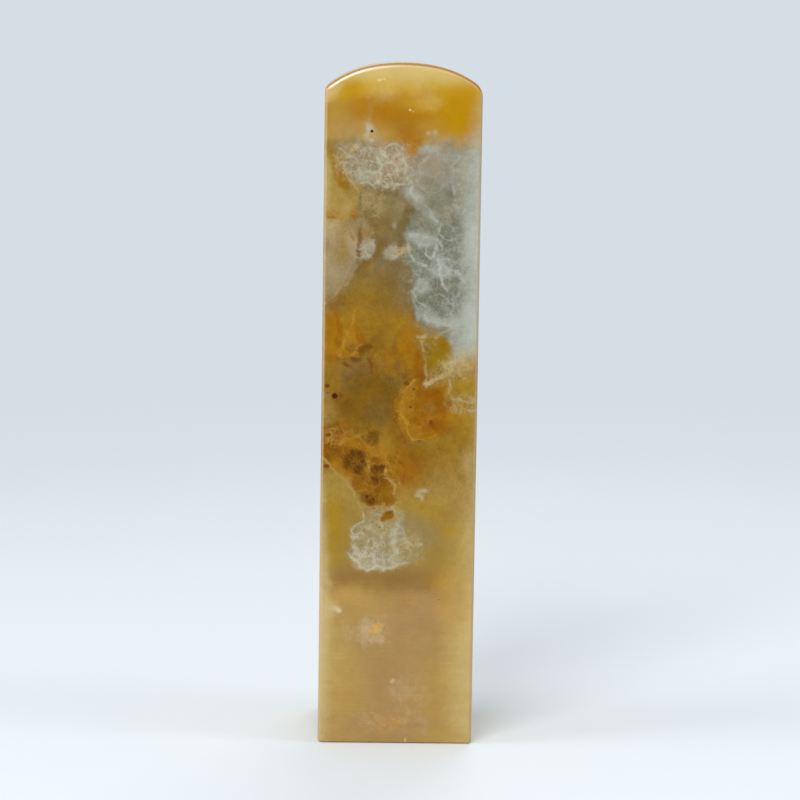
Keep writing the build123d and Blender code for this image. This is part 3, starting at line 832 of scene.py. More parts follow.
FINE_LACE = (
    patch(LACE_CREAM, -4.3, 75.3, 3.6, 2.8, -8, 0.3, 0.8, 0.6),
    patch(LACE_CREAM, -0.8, 74.8, 2.3, 2.8, 0, 0.3, 0.8, 0.5),
    patch(FLECK_WHITE, -4.6, 64.4, 1.2, 1.3, -20, 0.4, 0.8, 0.9),
    patch(FLECK_WHITE, -0.5, 64.2, 1.6, 1.1, 0, 0.4, 0.8, 0.8),
    patch(RUST_LACE, -4.4, 38.4, 5.4, 2.9, -22, 0.3, 0.7, 0.75),
    patch(RUST_LACE, -2.4, 34.4, 3.0, 3.4, 10, 0.3, 0.7, 0.7),
    patch(NEST_CREAM, -8.2, 40.3, 1.6, 1.3, 0, 0.3, 0.8, 0.7),
    patch(FLAME_LACE, 0.8, 44.6, 1.2, 3.4, -12, 0.3, 0.8, 0.7),
    patch(FLAME_LACE, 3.0, 42.2, 3.0, 2.8, 0, 0.5, 0.8, 0.3),
    patch(FLAME_LACE, -6.0, 49.8, 2.0, 1.0, 0, 0.5, 0.8, 0.5),
    patch(BLUE_WHITE, 6.2, 54.8, 2.6, 0.9, -8, 0.4, 0.8, 0.5),
    patch(LACE_CREAM, -4.3, 79.2, 0.8, 1.6, 10, 0.5, 0.8, 0.6),
    patch(BLUE_WHITE, 4.0, 59.5, 3.4, 4.6, 0, 0.5, 0.8, 0.3),
    patch(PALE_LACE, 6.8, 49.6, 3.0, 1.4, 35, 0.5, 0.8, 0.8),
    patch(PINK_CREAM, -3.2, 14.7, 1.9, 2.0, 0, 0.4, 0.9, 0.9),
    patch(PINK_CREAM, -6.2, 14.6, 0.9, 1.6, 0, 0.6, 0.9, 0.35),
    patch(PINK_CREAM, 1.8, 6.4, 2.4, 2.4, -30, 0.7, 0.9, 0.4),
    patch(PINK_CREAM, -1.8, 3.0, 4.0, 1.4, 0, 0.7, 0.9, 0.45),
    patch(STRIP_PALE, -4.0, 70.2, 1.9, 1.6, -30, 0.5, 0.9, 0.7),
    patch(BROWN, -5.4, 50.6, 2.6, 1.6, 0, 0.5, 0.9, 0.9),
    patch(BROWN, 1.0, 48.0, 1.4, 1.5, 0, 0.6, 0.9, 0.7),
    deep_patch(RUST_LACE, (-4, 10, 37.6), (7, 5, 3.6), -24, 0.3, 0.8, 0.6),
    deep_patch(LACE_CREAM, (-3, 10, 75.6), (6, 4, 3), 14, 0.3, 0.8, 0.7),
    deep_patch(RUST_LACE, (-10, 0, 38.8), (3, 8, 3.4), 0, 0.3, 0.8, 0.6),
    deep_patch(FLAME_LACE, (5.2, 10, 42.2), (4, 4, 4.4), -28, 0.4, 0.8, 0.5),
    deep_patch(FOAM_WHITE, (2, 10, 27.2), (4.6, 4, 3.6), 18, 0.3, 0.8, 0.7),
    patch(ORANGE_DEEP, -0.6, 50.6, 3.4, 2.4, 0, 0.6, 0.9, 0.5),
)
FOAM_LACE = patches(
    (FOAM_WHITE, -2.4, 26.0, 3.7, 3.2, 0, 0.15, 0.9, 0.8),
    (FOAM_CREAM, 1.0, 25.8, 2.6, 2.2, 0, 0.5, 0.9, 0.8),
    (FOAM_CREAM, -2.0, 29.4, 2.6, 2.2, 10, 0.2, 0.8, 0.8),
    (FOAM_WHITE, -3.4, 24.0, 2.2, 1.2, 0, 0.5, 0.8, 0.5),
)

# Each lace: its name, its patches, the size of its cells in millimetres, its broad and its fine
# threads' start and its haze
LACES = (
    ("coarse_lace", COARSE_LACE, 2.2, 0.9, 0.87, 0.18),
    ("middle_lace", MIDDLE_LACE, 1.5, 0.88, 0.85, 0.14),
    ("fine_lace", FINE_LACE, 1.0, 0.86, 0.83, 0.16),
    ("foam_lace", FOAM_LACE, 1.0, 0.83, 0.8, 0.22),
)

# Single threads: the tone, the places that each runs through on the front, its width and strength
CLOUD_THREADS = (
    (
        LACE_CREAM,
        ((-8.2, 77.2), (-7.4, 76.7), (-6.8, 76.2), (-6.0, 75.9), (-5.2, 75.0), (-4.6, 74.2)),
        0.14,
        0.38,
    ),
    (LACE_CREAM, ((-7.5, 75.2), (-7.2, 74.0), (-6.6, 72.9), (-5.8, 71.9)), 0.14, 0.32),
    (
        LACE_CREAM,
        ((-5.4, 72.7), (-4.6, 73.0), (-3.9, 72.6), (-3.3, 72.9), (-2.6, 73.2), (-2.0, 72.6)),
        0.17,
        0.5,
    ),
    (LACE_CREAM, ((-2.0, 72.6), (-1.3, 72.1), (-0.9, 72.6), (-0.1, 72.7), (0.8, 72.8)), 0.18, 0.5),
    (
        LACE_CREAM,
        ((-2.2, 77.4), (-1.4, 77.8), (-0.6, 77.7), (0.0, 77.0), (0.1, 75.8), (0.5, 74.9)),
        0.18,
        0.5,
    ),
    (LACE_CREAM, ((0.5, 74.9), (0.4, 74.1), (0.8, 73.4), (1.2, 72.7), (1.0, 71.6)), 0.25, 0.5),
    (LACE_CREAM, ((0.5, 74.9), (1.1, 74.8), (1.3, 74.3), (0.9, 73.9)), 0.13, 0.38),
    (LACE_CREAM, ((-2.4, 76.6), (-1.9, 75.9), (-2.4, 75.3), (-2.9, 74.4), (-2.8, 73.5)), 0.21, 0.45),
    (LACE_CREAM, ((-1.9, 75.9), (-1.3, 75.0), (-0.8, 74.4), (-0.4, 73.6)), 0.13, 0.32),
    (LACE_CREAM, ((-5.2, 75.0), (-4.2, 75.6), (-3.4, 76.6)), 0.14, 0.26),
    (BLUE_WHITE, ((1.0, 71.6), (2.2, 70.5), (3.4, 69.6), (3.8, 68.6), (5.0, 67.6)), 0.34, 0.45),
    (BLUE_WHITE, ((7.2, 76.3), (6.3, 75.2), (6.4, 73.0), (6.6, 71.2), (6.3, 70.2), (6.9, 69.7)), 0.36, 0.5),
    (BLUE_WHITE, ((6.6, 71.4), (7.0, 72.6), (7.6, 73.4)), 0.3, 0.3),
    (LACE_CREAM, ((-6.6, 77.6), (-5.6, 77.2), (-4.9, 76.4), (-5.2, 75.4)), 0.13, 0.38),
    (LACE_CREAM, ((-4.6, 77.8), (-3.9, 77.0), (-4.3, 76.2), (-3.6, 75.4), (-2.7, 75.2)), 0.13, 0.38),
    (LACE_CREAM, ((-6.0, 74.2), (-5.2, 73.7), (-4.4, 74.3), (-3.5, 74.0), (-2.9, 74.6)), 0.13, 0.38),
    (LACE_CREAM, ((-0.6, 76.6), (-1.2, 76.2), (-0.9, 75.5), (-0.2, 75.2), (0.3, 75.6)), 0.13, 0.38),
    (BLUE_WHITE, ((1.6, 73.0), (2.2, 73.8), (2.0, 75.0), (2.6, 75.9), (3.6, 76.6), (4.8, 76.4)), 0.26, 0.35),
)
MILK_THREADS = (
    (BLUE_WHITE, ((0.9, 66.2), (2.2, 66.4), (4.0, 66.0), (5.0, 65.4), (5.2, 64.2)), 0.32, 0.6),
    (BLUE_WHITE, ((0.8, 66.4), (0.8, 65.0), (1.0, 63.9), (1.7, 62.9), (3.0, 62.4)), 0.28, 0.6),
    (BLUE_WHITE, ((4.4, 65.0), (4.2, 63.6), (4.8, 62.8), (4.9, 61.4), (5.3, 60.2), (5.9, 59.3)), 0.32, 0.8),
    (BLUE_WHITE, ((4.8, 62.8), (6.0, 62.0), (7.2, 61.6), (8.2, 60.2)), 0.32, 0.6),
    (BLUE_WHITE, ((3.0, 62.4), (3.8, 61.8), (4.9, 61.2)), 0.32, 0.6),
    (BLUE_WHITE, ((4.9, 61.2), (3.8, 60.9), (3.0, 60.0), (2.6, 59.0)), 0.32, 0.5),
    (MILK_WHITE, ((1.4, 59.0), (1.8, 57.4), (2.2, 56.4), (2.2, 54.6)), 0.3, 0.5),
    (BLUE_WHITE, ((3.2, 55.6), (4.6, 55.2), (5.8, 54.8), (7.2, 54.7), (8.2, 54.0), (8.6, 52.6)), 0.3, 0.55),
    (BLUE_WHITE, ((5.0, 67.6), (4.6, 66.6), (5.4, 65.8), (6.4, 65.6)), 0.18, 0.5),
    (BLUE_WHITE, ((2.4, 65.2), (3.2, 64.8), (3.0, 63.9), (3.8, 63.3), (4.2, 63.6)), 0.16, 0.6),
    (BLUE_WHITE, ((1.6, 61.6), (2.4, 61.0), (2.2, 60.0), (1.6, 58.8), (2.2, 57.8), (3.2, 57.2)), 0.18, 0.45),
    (BLUE_WHITE, ((5.2, 63.2), (6.4, 63.4), (7.0, 62.6), (6.8, 61.6), (6.1, 60.8)), 0.18, 0.45),
    (BLUE_WHITE, ((3.8, 58.4), (4.8, 58.8), (5.9, 58.2), (6.6, 57.2), (6.4, 56.2), (7.2, 55.4)), 0.2, 0.4),
    (PALE_LACE, ((2.1, 53.2), (3.2, 53.3), (4.4, 53.2), (5.4, 53.7), (6.4, 54.3)), 0.24, 0.7),
    (PALE_LACE, ((2.6, 52.9), (3.0, 51.4), (3.2, 49.8), (3.4, 48.2), (3.4, 47.0)), 0.3, 0.5),
    (
        PALE_LACE,
        ((3.4, 47.2), (4.6, 47.9), (5.8, 48.4), (6.6, 49.0), (6.6, 49.9), (7.8, 50.6), (9.8, 51.6)),
        0.42,
        0.85,
    ),
    (PALE_LACE, ((6.6, 49.0), (7.6, 48.6), (8.2, 47.9)), 0.34, 0.7),
    (PALE_LACE, ((6.2, 48.4), (6.4, 47.2), (6.4, 46.2), (7.0, 45.2), (8.4, 44.9), (9.8, 44.9)), 0.3, 0.6),
    (PALE_LACE, ((7.0, 45.2), (8.0, 44.2), (9.0, 43.6), (9.8, 43.8)), 0.26, 0.6),
)
MIDDLE_THREADS = (
    (ORANGE_LINE, ((-9.4, 68.4), (-8.0, 68.35), (-7.3, 67.6), (-6.6, 66.8), (-6.1, 65.6)), 0.24, 0.6),
    (OLIVE_DARK, ((-5.3, 71.6), (-5.5, 70.2), (-5.6, 69.0), (-5.9, 67.8)), 0.2, 0.7),
    (FLESH_PALE, ((-9.8, 57.4), (-8.6, 58.4), (-7.4, 59.6), (-6.8, 60.0)), 0.26, 0.6),
    (OLIVE_BROWN, ((-6.6, 59.8), (-5.4, 61.0), (-4.7, 62.3), (-3.6, 63.6), (-2.6, 64.8)), 0.3, 0.6),
    (BROWN, ((-8.0, 50.35), (-7.2, 50.3), (-6.4, 50.4), (-5.4, 50.4), (-4.8, 50.9)), 0.26, 0.7),
    (
        FLAME_LACE,
        (
            (1.9, 47.6),
            (0.9, 46.6),
            (0.3, 45.4),
            (0.1, 44.2),
            (0.4, 43.0),
            (0.9, 42.0),
            (1.0, 40.8),
            (1.8, 40.0),
        ),
        0.24,
        0.7,
    ),
    (FLAME_LACE, ((1.8, 40.0), (3.2, 39.95), (4.8, 40.5)), 0.16, 0.5),
    (ORANGE_GLOW, ((-5.9, 56.4), (-6.2, 54.8), (-6.9, 53.2), (-7.5, 51.8), (-7.6, 50.9)), 0.22, 0.6),
    (ORANGE_GLOW, ((-7.6, 50.9), (-6.8, 50.7), (-6.0, 50.9), (-5.6, 51.8), (-5.0, 52.2)), 0.2, 0.6),
    (BROWN, ((-7.0, 51.6), (-6.3, 51.2), (-5.6, 51.5), (-4.9, 51.1), (-4.2, 51.4)), 0.2, 0.7),
    (BROWN, ((-4.6, 52.2), (-4.0, 51.4), (-4.2, 50.4), (-3.6, 49.6), (-3.5, 48.6)), 0.18, 0.6),
    (BROWN, ((-0.2, 45.8), (0.0, 43.6), (-0.6, 42.6), (0.2, 41.0), (0.9, 39.7)), 0.22, 0.5),
)
NEST_THREADS = (
    (NEST_CREAM, ((-9.9, 37.7), (-9.1, 36.8), (-8.3, 35.8), (-7.6, 35.1), (-6.8, 34.6)), 0.22, 0.8),
    (
        NEST_CREAM,
        ((-6.8, 34.6), (-6.3, 33.8), (-5.7, 33.1), (-5.3, 32.2), (-4.8, 31.2), (-4.5, 30.2)),
        0.26,
        0.85,
    ),
    (
        RUST_LACE,
        ((-7.4, 40.2), (-6.4, 40.0), (-5.0, 40.4), (-4.6, 39.6), (-4.0, 38.9), (-2.9, 38.8)),
        0.2,
        0.6,
    ),
    (
        RUST_LACE,
        ((-2.4, 40.6), (-2.2, 39.6), (-2.6, 38.8), (-1.7, 38.0), (-1.6, 37.0), (-2.0, 36.6)),
        0.18,
        0.6,
    ),
    (NEST_CREAM, ((-4.1, 37.4), (-3.9, 36.4), (-3.6, 35.8)), 0.22, 0.6),
    (RUST_LACE, ((-6.7, 38.4), (-5.4, 38.9), (-4.2, 38.4), (-3.8, 37.2)), 0.24, 0.7),
    (
        NEST_CREAM,
        ((-1.6, 36.2), (-1.7, 35.2), (-1.1, 34.6), (-0.5, 34.0), (-0.5, 32.8), (-0.2, 31.8)),
        0.22,
        0.8,
    ),
    (NEST_CREAM, ((-1.1, 34.6), (-0.2, 34.8), (0.1, 34.2)), 0.2, 0.5),
    (RUST_LACE, ((-4.8, 33.2), (-3.8, 33.4), (-3.0, 32.8), (-2.8, 31.6)), 0.22, 0.5),
    (NEST_CREAM, ((-4.4, 31.2), (-3.4, 31.2), (-2.6, 31.4), (-1.4, 31.0), (-0.6, 31.3)), 0.24, 0.6),
    (RUST_RED, ((0.3, 37.0), (0.9, 36.2), (0.8, 35.3), (0.5, 34.4)), 0.22, 0.5),
)
FOAM_THREADS = (
    (FOAM_WHITE, ((-4.5, 30.2), (-4.3, 29.4), (-5.2, 28.9), (-6.0, 28.2), (-5.8, 27.7)), 0.2, 0.5),
    (
        FOAM_WHITE,
        ((-5.8, 27.7), (-5.4, 27.2), (-5.9, 26.4), (-5.4, 25.4), (-5.9, 24.6), (-6.6, 25.1)),
        0.18,
        0.6,
    ),
    (
        FOAM_WHITE,
        ((-5.9, 24.4), (-5.1, 23.9), (-4.8, 23.2), (-4.0, 22.9), (-3.2, 23.0), (-2.5, 23.4)),
        0.3,
        0.8,
    ),
    (FOAM_WHITE, ((-2.5, 23.4), (-1.6, 23.1), (-0.6, 23.2), (0.1, 23.7), (1.4, 23.9)), 0.22, 0.6),
    (
        FOAM_WHITE,
        ((-0.8, 31.0), (-0.2, 29.8), (0.1, 28.6), (-0.6, 27.6), (-0.5, 26.2), (0.0, 25.2)),
        0.34,
        0.5,
    ),
    (FOAM_WHITE, ((-0.5, 26.6), (0.8, 26.8), (2.0, 26.2), (3.0, 26.4)), 0.3, 0.45),
    (CREAM_AND_SIDE_GLOW, ((7.2, 9.5), (7.9, 9.8), (8.8, 9.5), (9.9, 9.9)), 0.14, 0.5),
)

THREADS = (
    ("cloud_threads", CLOUD_THREADS),
    ("milk_threads", MILK_THREADS),
    ("middle_threads", MIDDLE_THREADS),
    ("nest_threads", NEST_THREADS),
    ("foam_threads", FOAM_THREADS),
)

# Small flecks and spots, and the pinhole
pinhole_x = -3.98
pinhole_z = 79.35
SPOTS = patches(
    (PINHOLE, pinhole_x, pinhole_z, 0.17, 0.17, 0, 0.3, 0.1, 1, 0.2),
    (FLECK_WHITE, 3.2, 79.2, 0.28, 0.25, 0, 0.9, 0.6, 0.5),
    (FLECK_WHITE, 4.0, 79.3, 0.3, 0.3, 0, 0.9, 0.6, 0.6),
    (CREAM_AND_TOP_LIGHT, 0.8, 82.1, 0.16, 0.14, 0, 0.6, 0.4, 0.9, 0.3),
    (CREAM_AND_TOP_LIGHT, 1.2, 81.9, 0.1, 0.1, 0, 0.8, 0.4, 0.5, 0.3),
    (CREAM_GLOW, -3.1, 85.8, 0.3, 0.16, 0, 0.6, 0.6, 0.7, 0.4),
    (CREAM_GLOW, -2.5, 85.95, 0.2, 0.12, 0, 0.6, 0.6, 0.6, 0.4),
    (BROWN, -0.25, 64.1, 0.12, 0.1, 0, 0.6, 0.6, 0.6, 0.6),
    (BROWN, 0.25, 63.8, 0.1, 0.12, 0, 0.6, 0.6, 0.6, 0.6),
    (BROWN, -4.9, 51.6, 0.5, 0.4, 20, 0.5, 1.6, 0.85, 1),
    (BROWN, -4.0, 51.9, 0.35, 0.3, 0, 0.5, 1.6, 0.85, 1),
    (BROWN_GREY, -6.2, 51.9, 0.4, 0.35, 0, 0.5, 0.9, 0.7, 1),
    (BROWN, -5.6, 50.2, 0.7, 0.3, 0, 0.6, 1.6, 0.85, 1),
    (BROWN, -6.8, 49.5, 0.6, 0.25, -30, 0.6, 1.6, 0.85, 1),
    (BROWN, -3.8, 49.6, 0.25, 0.9, 12, 0.7, 0.9, 0.5, 1),
    (BROWN, 0.9, 47.2, 0.35, 0.3, 0, 0.6, 1.6, 0.85, 1),
    (BROWN, 0.7, 48.2, 0.3, 0.5, 0, 0.7, 0.9, 0.5, 1),
    (MAROON, -8.3, 45.5, 0.38, 0.36, 0, 0.35, 0.3, 1, 1),
    (BROWN, -7.6, 45.6, 0.35, 0.25, 0, 0.8, 0.5, 0.6, 1),
    (RUST_RED, -9.3, 46.8, 0.35, 0.25, 0, 0.5, 0.5, 0.95, 1),
    (RUST_RED, -9.2, 45.9, 0.12, 0.1, 0, 0.5, 0.5, 0.8, 1),
    (RUST_RED, -7.0, 44.6, 0.5, 0.15, 30, 0.8, 0.8, 0.5, 1),
    (RUST_RED, -9.3, 36.4, 0.42, 0.25, 0, 0.5, 0.5, 0.9, 1),
    (RUST_RED, -9.0, 40.5, 0.3, 0.2, 0, 0.6, 0.8, 0.8, 1),
    (RUST_RED, -8.9, 39.3, 0.15, 0.3, 0, 0.6, 0.8, 0.7, 1),
    (RUST_RED, 4.1, 42.2, 0.25, 0.32, 0, 0.6, 0.5, 0.8, 1),
    (RUST_RED, 1.8, 46.5, 0.16, 0.16, 0, 0.6, 0.5, 0.8, 1),
    (RUST_RED, 1.4, 44.2, 0.2, 0.2, 0, 0.6, 0.5, 0.8, 1),
    (RUST_RED, 2.6, 42.0, 0.12, 0.12, 0, 0.6, 0.5, 0.7, 1),
    (RED_CELL, -4.0, 32.5, 0.22, 0.24, 0, 0.6, 0.5, 0.9, 1),
    (RED_CELL, -4.9, 38.1, 0.2, 0.2, 0, 0.7, 0.5, 0.6, 1),
    (RED_CELL, -5.9, 37.9, 0.18, 0.2, 0, 0.7, 0.5, 0.6, 1),
    (RED_CELL, -3.0, 36.4, 0.18, 0.18, 0, 0.7, 0.5, 0.6, 1),
    (RUST_RED, -2.3, 28.5, 0.15, 0.12, 0, 0.7, 0.5, 0.6, 1),
    (DARK_CELL, -5.2, 37.7, 1.0, 0.8, -20, 0.5, 2.0, 0.6, 1),
    (DARK_CELL, -6.5, 36.9, 0.35, 0.6, 0, 0.5, 2.0, 0.6, 1),
    (RED_CELL, -5.0, 36.2, 0.55, 0.35, -10, 0.5, 2.0, 0.6, 1),
    (DARK_CELL, -2.7, 36.1, 0.8, 0.6, 0, 0.5, 2.0, 0.6, 1),
    (DARK_CELL, -2.8, 34.9, 0.7, 0.4, 0, 0.5, 2.0, 0.6, 1),
    (DARK_CELL, -3.3, 31.9, 0.5, 0.35, 0, 0.5, 1.4, 0.6, 1),
    (GREY_CELL, -3.3, 40.2, 0.8, 0.7, 20, 0.5, 2.0, 0.6, 1),
    (GOLDEN_CELL, -1.6, 33.5, 0.6, 0.6, 0, 0.5, 2.0, 0.6, 1),
    (FLAME, -1.2, 30.1, 0.75, 0.6, 20, 0.35, 0.5, 1, 1.5),
    (ORANGE_BROWN, -1.9, 29.6, 0.35, 0.35, 0, 0.4, 0.5, 0.9, 1.5),
    (BROWN, -1.0, 30.5, 0.5, 0.2, 25, 0.7, 0.5, 0.6, 1.5),
    (FOAM_WHITE, 3.2, 33.3, 0.6, 0.28, 0, 0.7, 1.6, 0.5, 1),
    (FOAM_WHITE, 2.6, 32.8, 0.4, 0.3, 25, 0.7, 1.6, 0.45, 1),
    (FOAM_WHITE, 3.1, 32.4, 0.2, 0.45, 0, 0.7, 1.6, 0.45, 1),
    (FLECK_CREAM, -7.9, 17.8, 0.6, 0.3, -15, 1.0, 2.6, 0.45, 1),
    (FLECK_CREAM, -7.5, 17.5, 0.3, 0.3, -20, 0.9, 2.6, 0.5, 1),
    (FLECK_CREAM, -0.4, 8.3, 0.34, 0.24, 30, 0.9, 1.6, 0.5, 1),
    (BROWN, 5.5, 19.1, 0.16, 0.08, 20, 0.6, 0.4, 0.5, 0.5),
    (PALE_LACE, -9.6, 31.9, 0.4, 0.25, 0, 0.7, 0.8, 0.7, 1),
    (PALE_LACE, -9.5, 27.4, 0.4, 0.35, 0, 0.8, 0.8, 0.6, 1),
    (FLECK_CREAM, 1.4, 0.4, 0.12, 0.3, 0, 0.8, 0.6, 0.5, 1),
)

# Sockets of the Mix node for colours, by their place
mix_share = 0
mix_below = 6
mix_above = 7
mix_result = 2

# The value about which noise swings
noise_middle = 0.5


def add_node(tree, kind, sockets=None, **settings):
    """Adds a node with its settings, and wires or sets its inputs by name or place."""
    node = tree.nodes.new(kind)
    for name, value in settings.items():
        setattr(node, name, value)
    for name, value in (sockets or {}).items():
        if isinstance(value, bpy.types.NodeSocket):
            tree.links.new(value, node.inputs[name])
        else:
            node.inputs[name].default_value = value
    return node


def work_out(tree, operation, *values):
    """A Math node's answer."""
    return add_node(tree, "ShaderNodeMath", dict(enumerate(values)), operation=operation).outputs[0]


def product(tree, answer, *others):
    """The product of two or more numbers."""
    for other in others:
        answer = work_out(tree, "MULTIPLY", answer, other)
    return answer


def work_out_vector(tree, operation, *values):
    """A Vector Math node's answer, which is one number for LENGTH and for DOT_PRODUCT."""
    node = add_node(tree, "ShaderNodeVectorMath", dict(enumerate(values)), operation=operation)
    return node.outputs["Value" if operation in ("LENGTH", "DOT_PRODUCT") else "Vector"]


def along_axis(tree, point, axis):
    """How far along an axis a point lies."""
    return work_out_vector(tree, "DOT_PRODUCT", point, axis)


def stretch_vector(tree, vector, factor):
    """The vector, made longer or shorter by a factor."""
    node = add_node(tree, "ShaderNodeVectorMath", {0: vector, "Scale": factor}, operation="SCALE")
    return node.outputs["Vector"]


def ease(tree, value, low, high, start=0, end=1):
    """Goes smoothly from the start at the low value to the end at the high one."""
    sockets = {"Value": value, "From Min": low, "From Max": high, "To Min": start, "To Max": end}
    settings = {"interpolation_type": "SMOOTHSTEP", "clamp": False}
    return add_node(tree, "ShaderNodeMapRange", sockets, **settings).outputs["Result"]


def lay_over(tree, below, above, mask, blend="MIX"):
    """Lays one colour over another where the mask says."""
    sockets = {mix_share: mask, mix_below: below, mix_above: above}
    node = add_node(tree, "ShaderNodeMix", sockets, data_type="RGBA", blend_type=blend)
    return node.outputs[mix_result]


def fractal(tree, point, grain, detail=4, roughness=0.55, output="Fac"):
    """Noise whose broadest blots are about one grain across, in millimetres."""
    sockets = {"Vector": point, "Scale": 1 / grain, "Detail": detail, "Roughness": roughness}
    return add_node(tree, "ShaderNodeTexNoise", sockets).outputs[output]


def wander(tree, point, grain, reach, detail=3):
    """The point, moved about by noise, by up to about the reach in millimetres."""
    noise = fractal(tree, point, grain, detail, output="Color")
    shares = add_node(tree, "ShaderNodeSeparateColor", {0: noise}).outputs
    sockets = {"X": shares[0], "Y": shares[1], "Z": shares[2]}
    along_axes = add_node(tree, "ShaderNodeCombineXYZ", sockets).outputs[0]
    centred = work_out_vector(tree, "SUBTRACT", along_axes, (noise_middle,) * 3)
    return work_out_vector(tree, "ADD", point, stretch_vector(tree, centred, reach / noise_middle))


def start_group(name, inputs, outputs):
    """Starts a node group, and gives its tree, the sockets it is given and the sockets it fills."""
    group = bpy.data.node_groups.new(name, "ShaderNodeTree")
    for socket_name, kind in inputs:
        group.interface.new_socket(socket_name, in_out="INPUT", socket_type="NodeSocket" + kind)
    for socket_name, kind in outputs:
        group.interface.new_socket(socket_name, in_out="OUTPUT", socket_type="NodeSocket" + kind)
    given = group.nodes.new("NodeGroupInput").outputs
    filled = group.nodes.new("NodeGroupOutput").inputs
    return group, given, filled


def place_group(tree, group, sockets):
    """Places a node group, and wires or sets its inputs by name."""
    return add_node(tree, "ShaderNodeGroup", sockets, node_tree=group)


def make_patch_group():
    """An ellipsoid patch whose outline is eaten and stretched by the stone's grain."""
    inputs = (
        ("Point", "Vector"),
        ("Middle", "Vector"),
        ("Half Size", "Vector"),
        ("Tilt", "Float"),
        ("Softness", "Float"),
        ("Raggedness", "Float"),
        ("Grain", "Float"),
    )
    group, given, filled = start_group("stone_patch", inputs, (("Mask", "Float"),))
    from_middle = work_out_vector(group, "SUBTRACT", given["Point"], given["Middle"])
    sockets = {"Vector": from_middle, "Angle": given["Tilt"]}
    turned = add_node(group, "ShaderNodeVectorRotate", sockets, rotation_type="Y_AXIS")
    shares = work_out_vector(group, "DIVIDE", turned.outputs["Vector"], given["Half Size"])
    inside = work_out(group, "SUBTRACT", 1, work_out_vector(group, "LENGTH", shares))
    field = work_out(group, "MULTIPLY_ADD", given["Grain"], given["Raggedness"], inside)
    outer = work_out(group, "MULTIPLY", given["Softness"], -1)
    mask = ease(group, field, outer, given["Softness"])
    group.links.new(mask, filled["Mask"])
    return group


def make_thread_group():
    """How far a point is from a straight thread between two places."""
    inputs = (("Point", "Vector"), ("Start", "Vector"), ("Run", "Vector"), ("Reach", "Vector"))
    group, given, filled = start_group("stone_thread", inputs, (("Distance", "Float"),))
    from_start = work_out_vector(group, "SUBTRACT", given["Point"], given["Start"])
    along = work_out_vector(group, "DOT_PRODUCT", from_start, given["Reach"])
    along = work_out(group, "MINIMUM", work_out(group, "MAXIMUM", along, 0), 1)
    nearest = stretch_vector(group, given["Run"], along)
    distance = work_out_vector(group, "LENGTH", work_out_vector(group, "SUBTRACT", from_start, nearest))
    group.links.new(distance, filled["Distance"])
    return group


# Lace, with its lengths in cells, because each lace is scaled to the size of its own. What is
# named a rise, here and below, is what ease needs: low and high, then start and end if they
# aren't 0 and 1.
lace_wander = {"grain": 1.6, "reach": 0.32, "detail": 4}
cell_haze = (0.12, 0.7)  # from a cell's middle to where its haze is whole
cloud_noise = {"grain": 1.8, "detail": 5, "roughness": 0.6}
cloud_rise = (0.36, 0.66, 0.3, 1)
fleece_noise = {"grain": 0.25, "detail": 3, "roughness": 0.6}
fleece_rise = (0.3, 0.7, 0.65, 1)
broad_ridges = {"grain": 1.5, "detail": 3, "shift": (11, 5, 3)}
fine_ridges = {"grain": 0.7, "detail": 4, "shift": (3, 15, 23)}
fine_ridge_share = 0.6
ridge_in_cell = 0.25  # what a ridge keeps of its strength in the middle of a cell


def ridges(tree, point, start, grain, detail, shift):
    """Thin wandering lines where noise crosses its middle, thinner as the start nears 1."""
    moved = work_out_vector(tree, "ADD", point, shift)
    noise = fractal(tree, moved, grain, detail)
    off_middle = work_out(tree, "ABSOLUTE", work_out(tree, "MULTIPLY_ADD", noise, 2, -1))
    return ease(tree, work_out(tree, "SUBTRACT", 1, off_middle), start, 1)


def make_lace_group():
    """Pale lace: soft dark cells of one size, haze between them, and wandering threads over the haze."""
    inputs = (
        ("Point", "Vector"),
        ("Size", "Float"),
        ("Broad Start", "Float"),
        ("Fine Start", "Float"),
        ("Haze", "Float"),
    )
    group, given, filled = start_group("lace", inputs, (("Lace", "Float"),))
    scale = work_out(group, "DIVIDE", 1, given["Size"])
    scaled = stretch_vector(group, given["Point"], scale)
    bent = wander(group, scaled, **lace_wander)
    cells = add_node(group, "ShaderNodeTexVoronoi", {"Vector": bent, "Scale": 1}, feature="F1")
    between = ease(group, cells.outputs["Distance"], *cell_haze)
    cloud = ease(group, fractal(group, scaled, **cloud_noise), *cloud_rise)
    broad = ridges(group, bent, given["Broad Start"], **broad_ridges)
    fine = ridges(group, bent, given["Fine Start"], **fine_ridges)
    threads = work_out(group, "MAXIMUM", broad, product(group, fine, fine_ridge_share))
    outside = work_out(group, "MULTIPLY_ADD", between, 1 - ridge_in_cell, ridge_in_cell)
    threads = product(group, threads, outside)
    haze = product(group, between, cloud, given["Haze"])
    fleece = ease(group, fractal(group, scaled, **fleece_noise), *fleece_rise)
    lace = product(group, work_out(group, "MAXIMUM", threads, haze), fleece)
    group.links.new(lace, filled["Lace"])
    return group


def lay_patches(tree, colour, name, patches, patch_group, point, grain, cut=1):
    """Lays a zone's patches over a colour, whole or only where a cut such as lace says."""
    inputs = (("Colour", "Color"), ("Point", "Vector"), ("Grain", "Float"), ("Cut", "Float"))
    group, given, filled = start_group(name, inputs, (("Colour", "Color"),))
    below = given["Colour"]
    for above, middle, half_size, tilt, soft, ragged, strength in patches:
        sockets = {
            "Point": given["Point"],
            "Middle": middle,
            "Half Size": half_size,
            "Tilt": tilt,
            "Softness": soft,
            "Raggedness": ragged,
            "Grain": given["Grain"],
        }
        mask = place_group(group, patch_group, sockets).outputs["Mask"]
        below = lay_over(group, below, above, product(group, mask, strength, given["Cut"]))
    group.links.new(below, filled["Colour"])
    sockets = {"Colour": colour, "Point": point, "Grain": grain, "Cut": cut}
    return place_group(tree, group, sockets).outputs["Colour"]


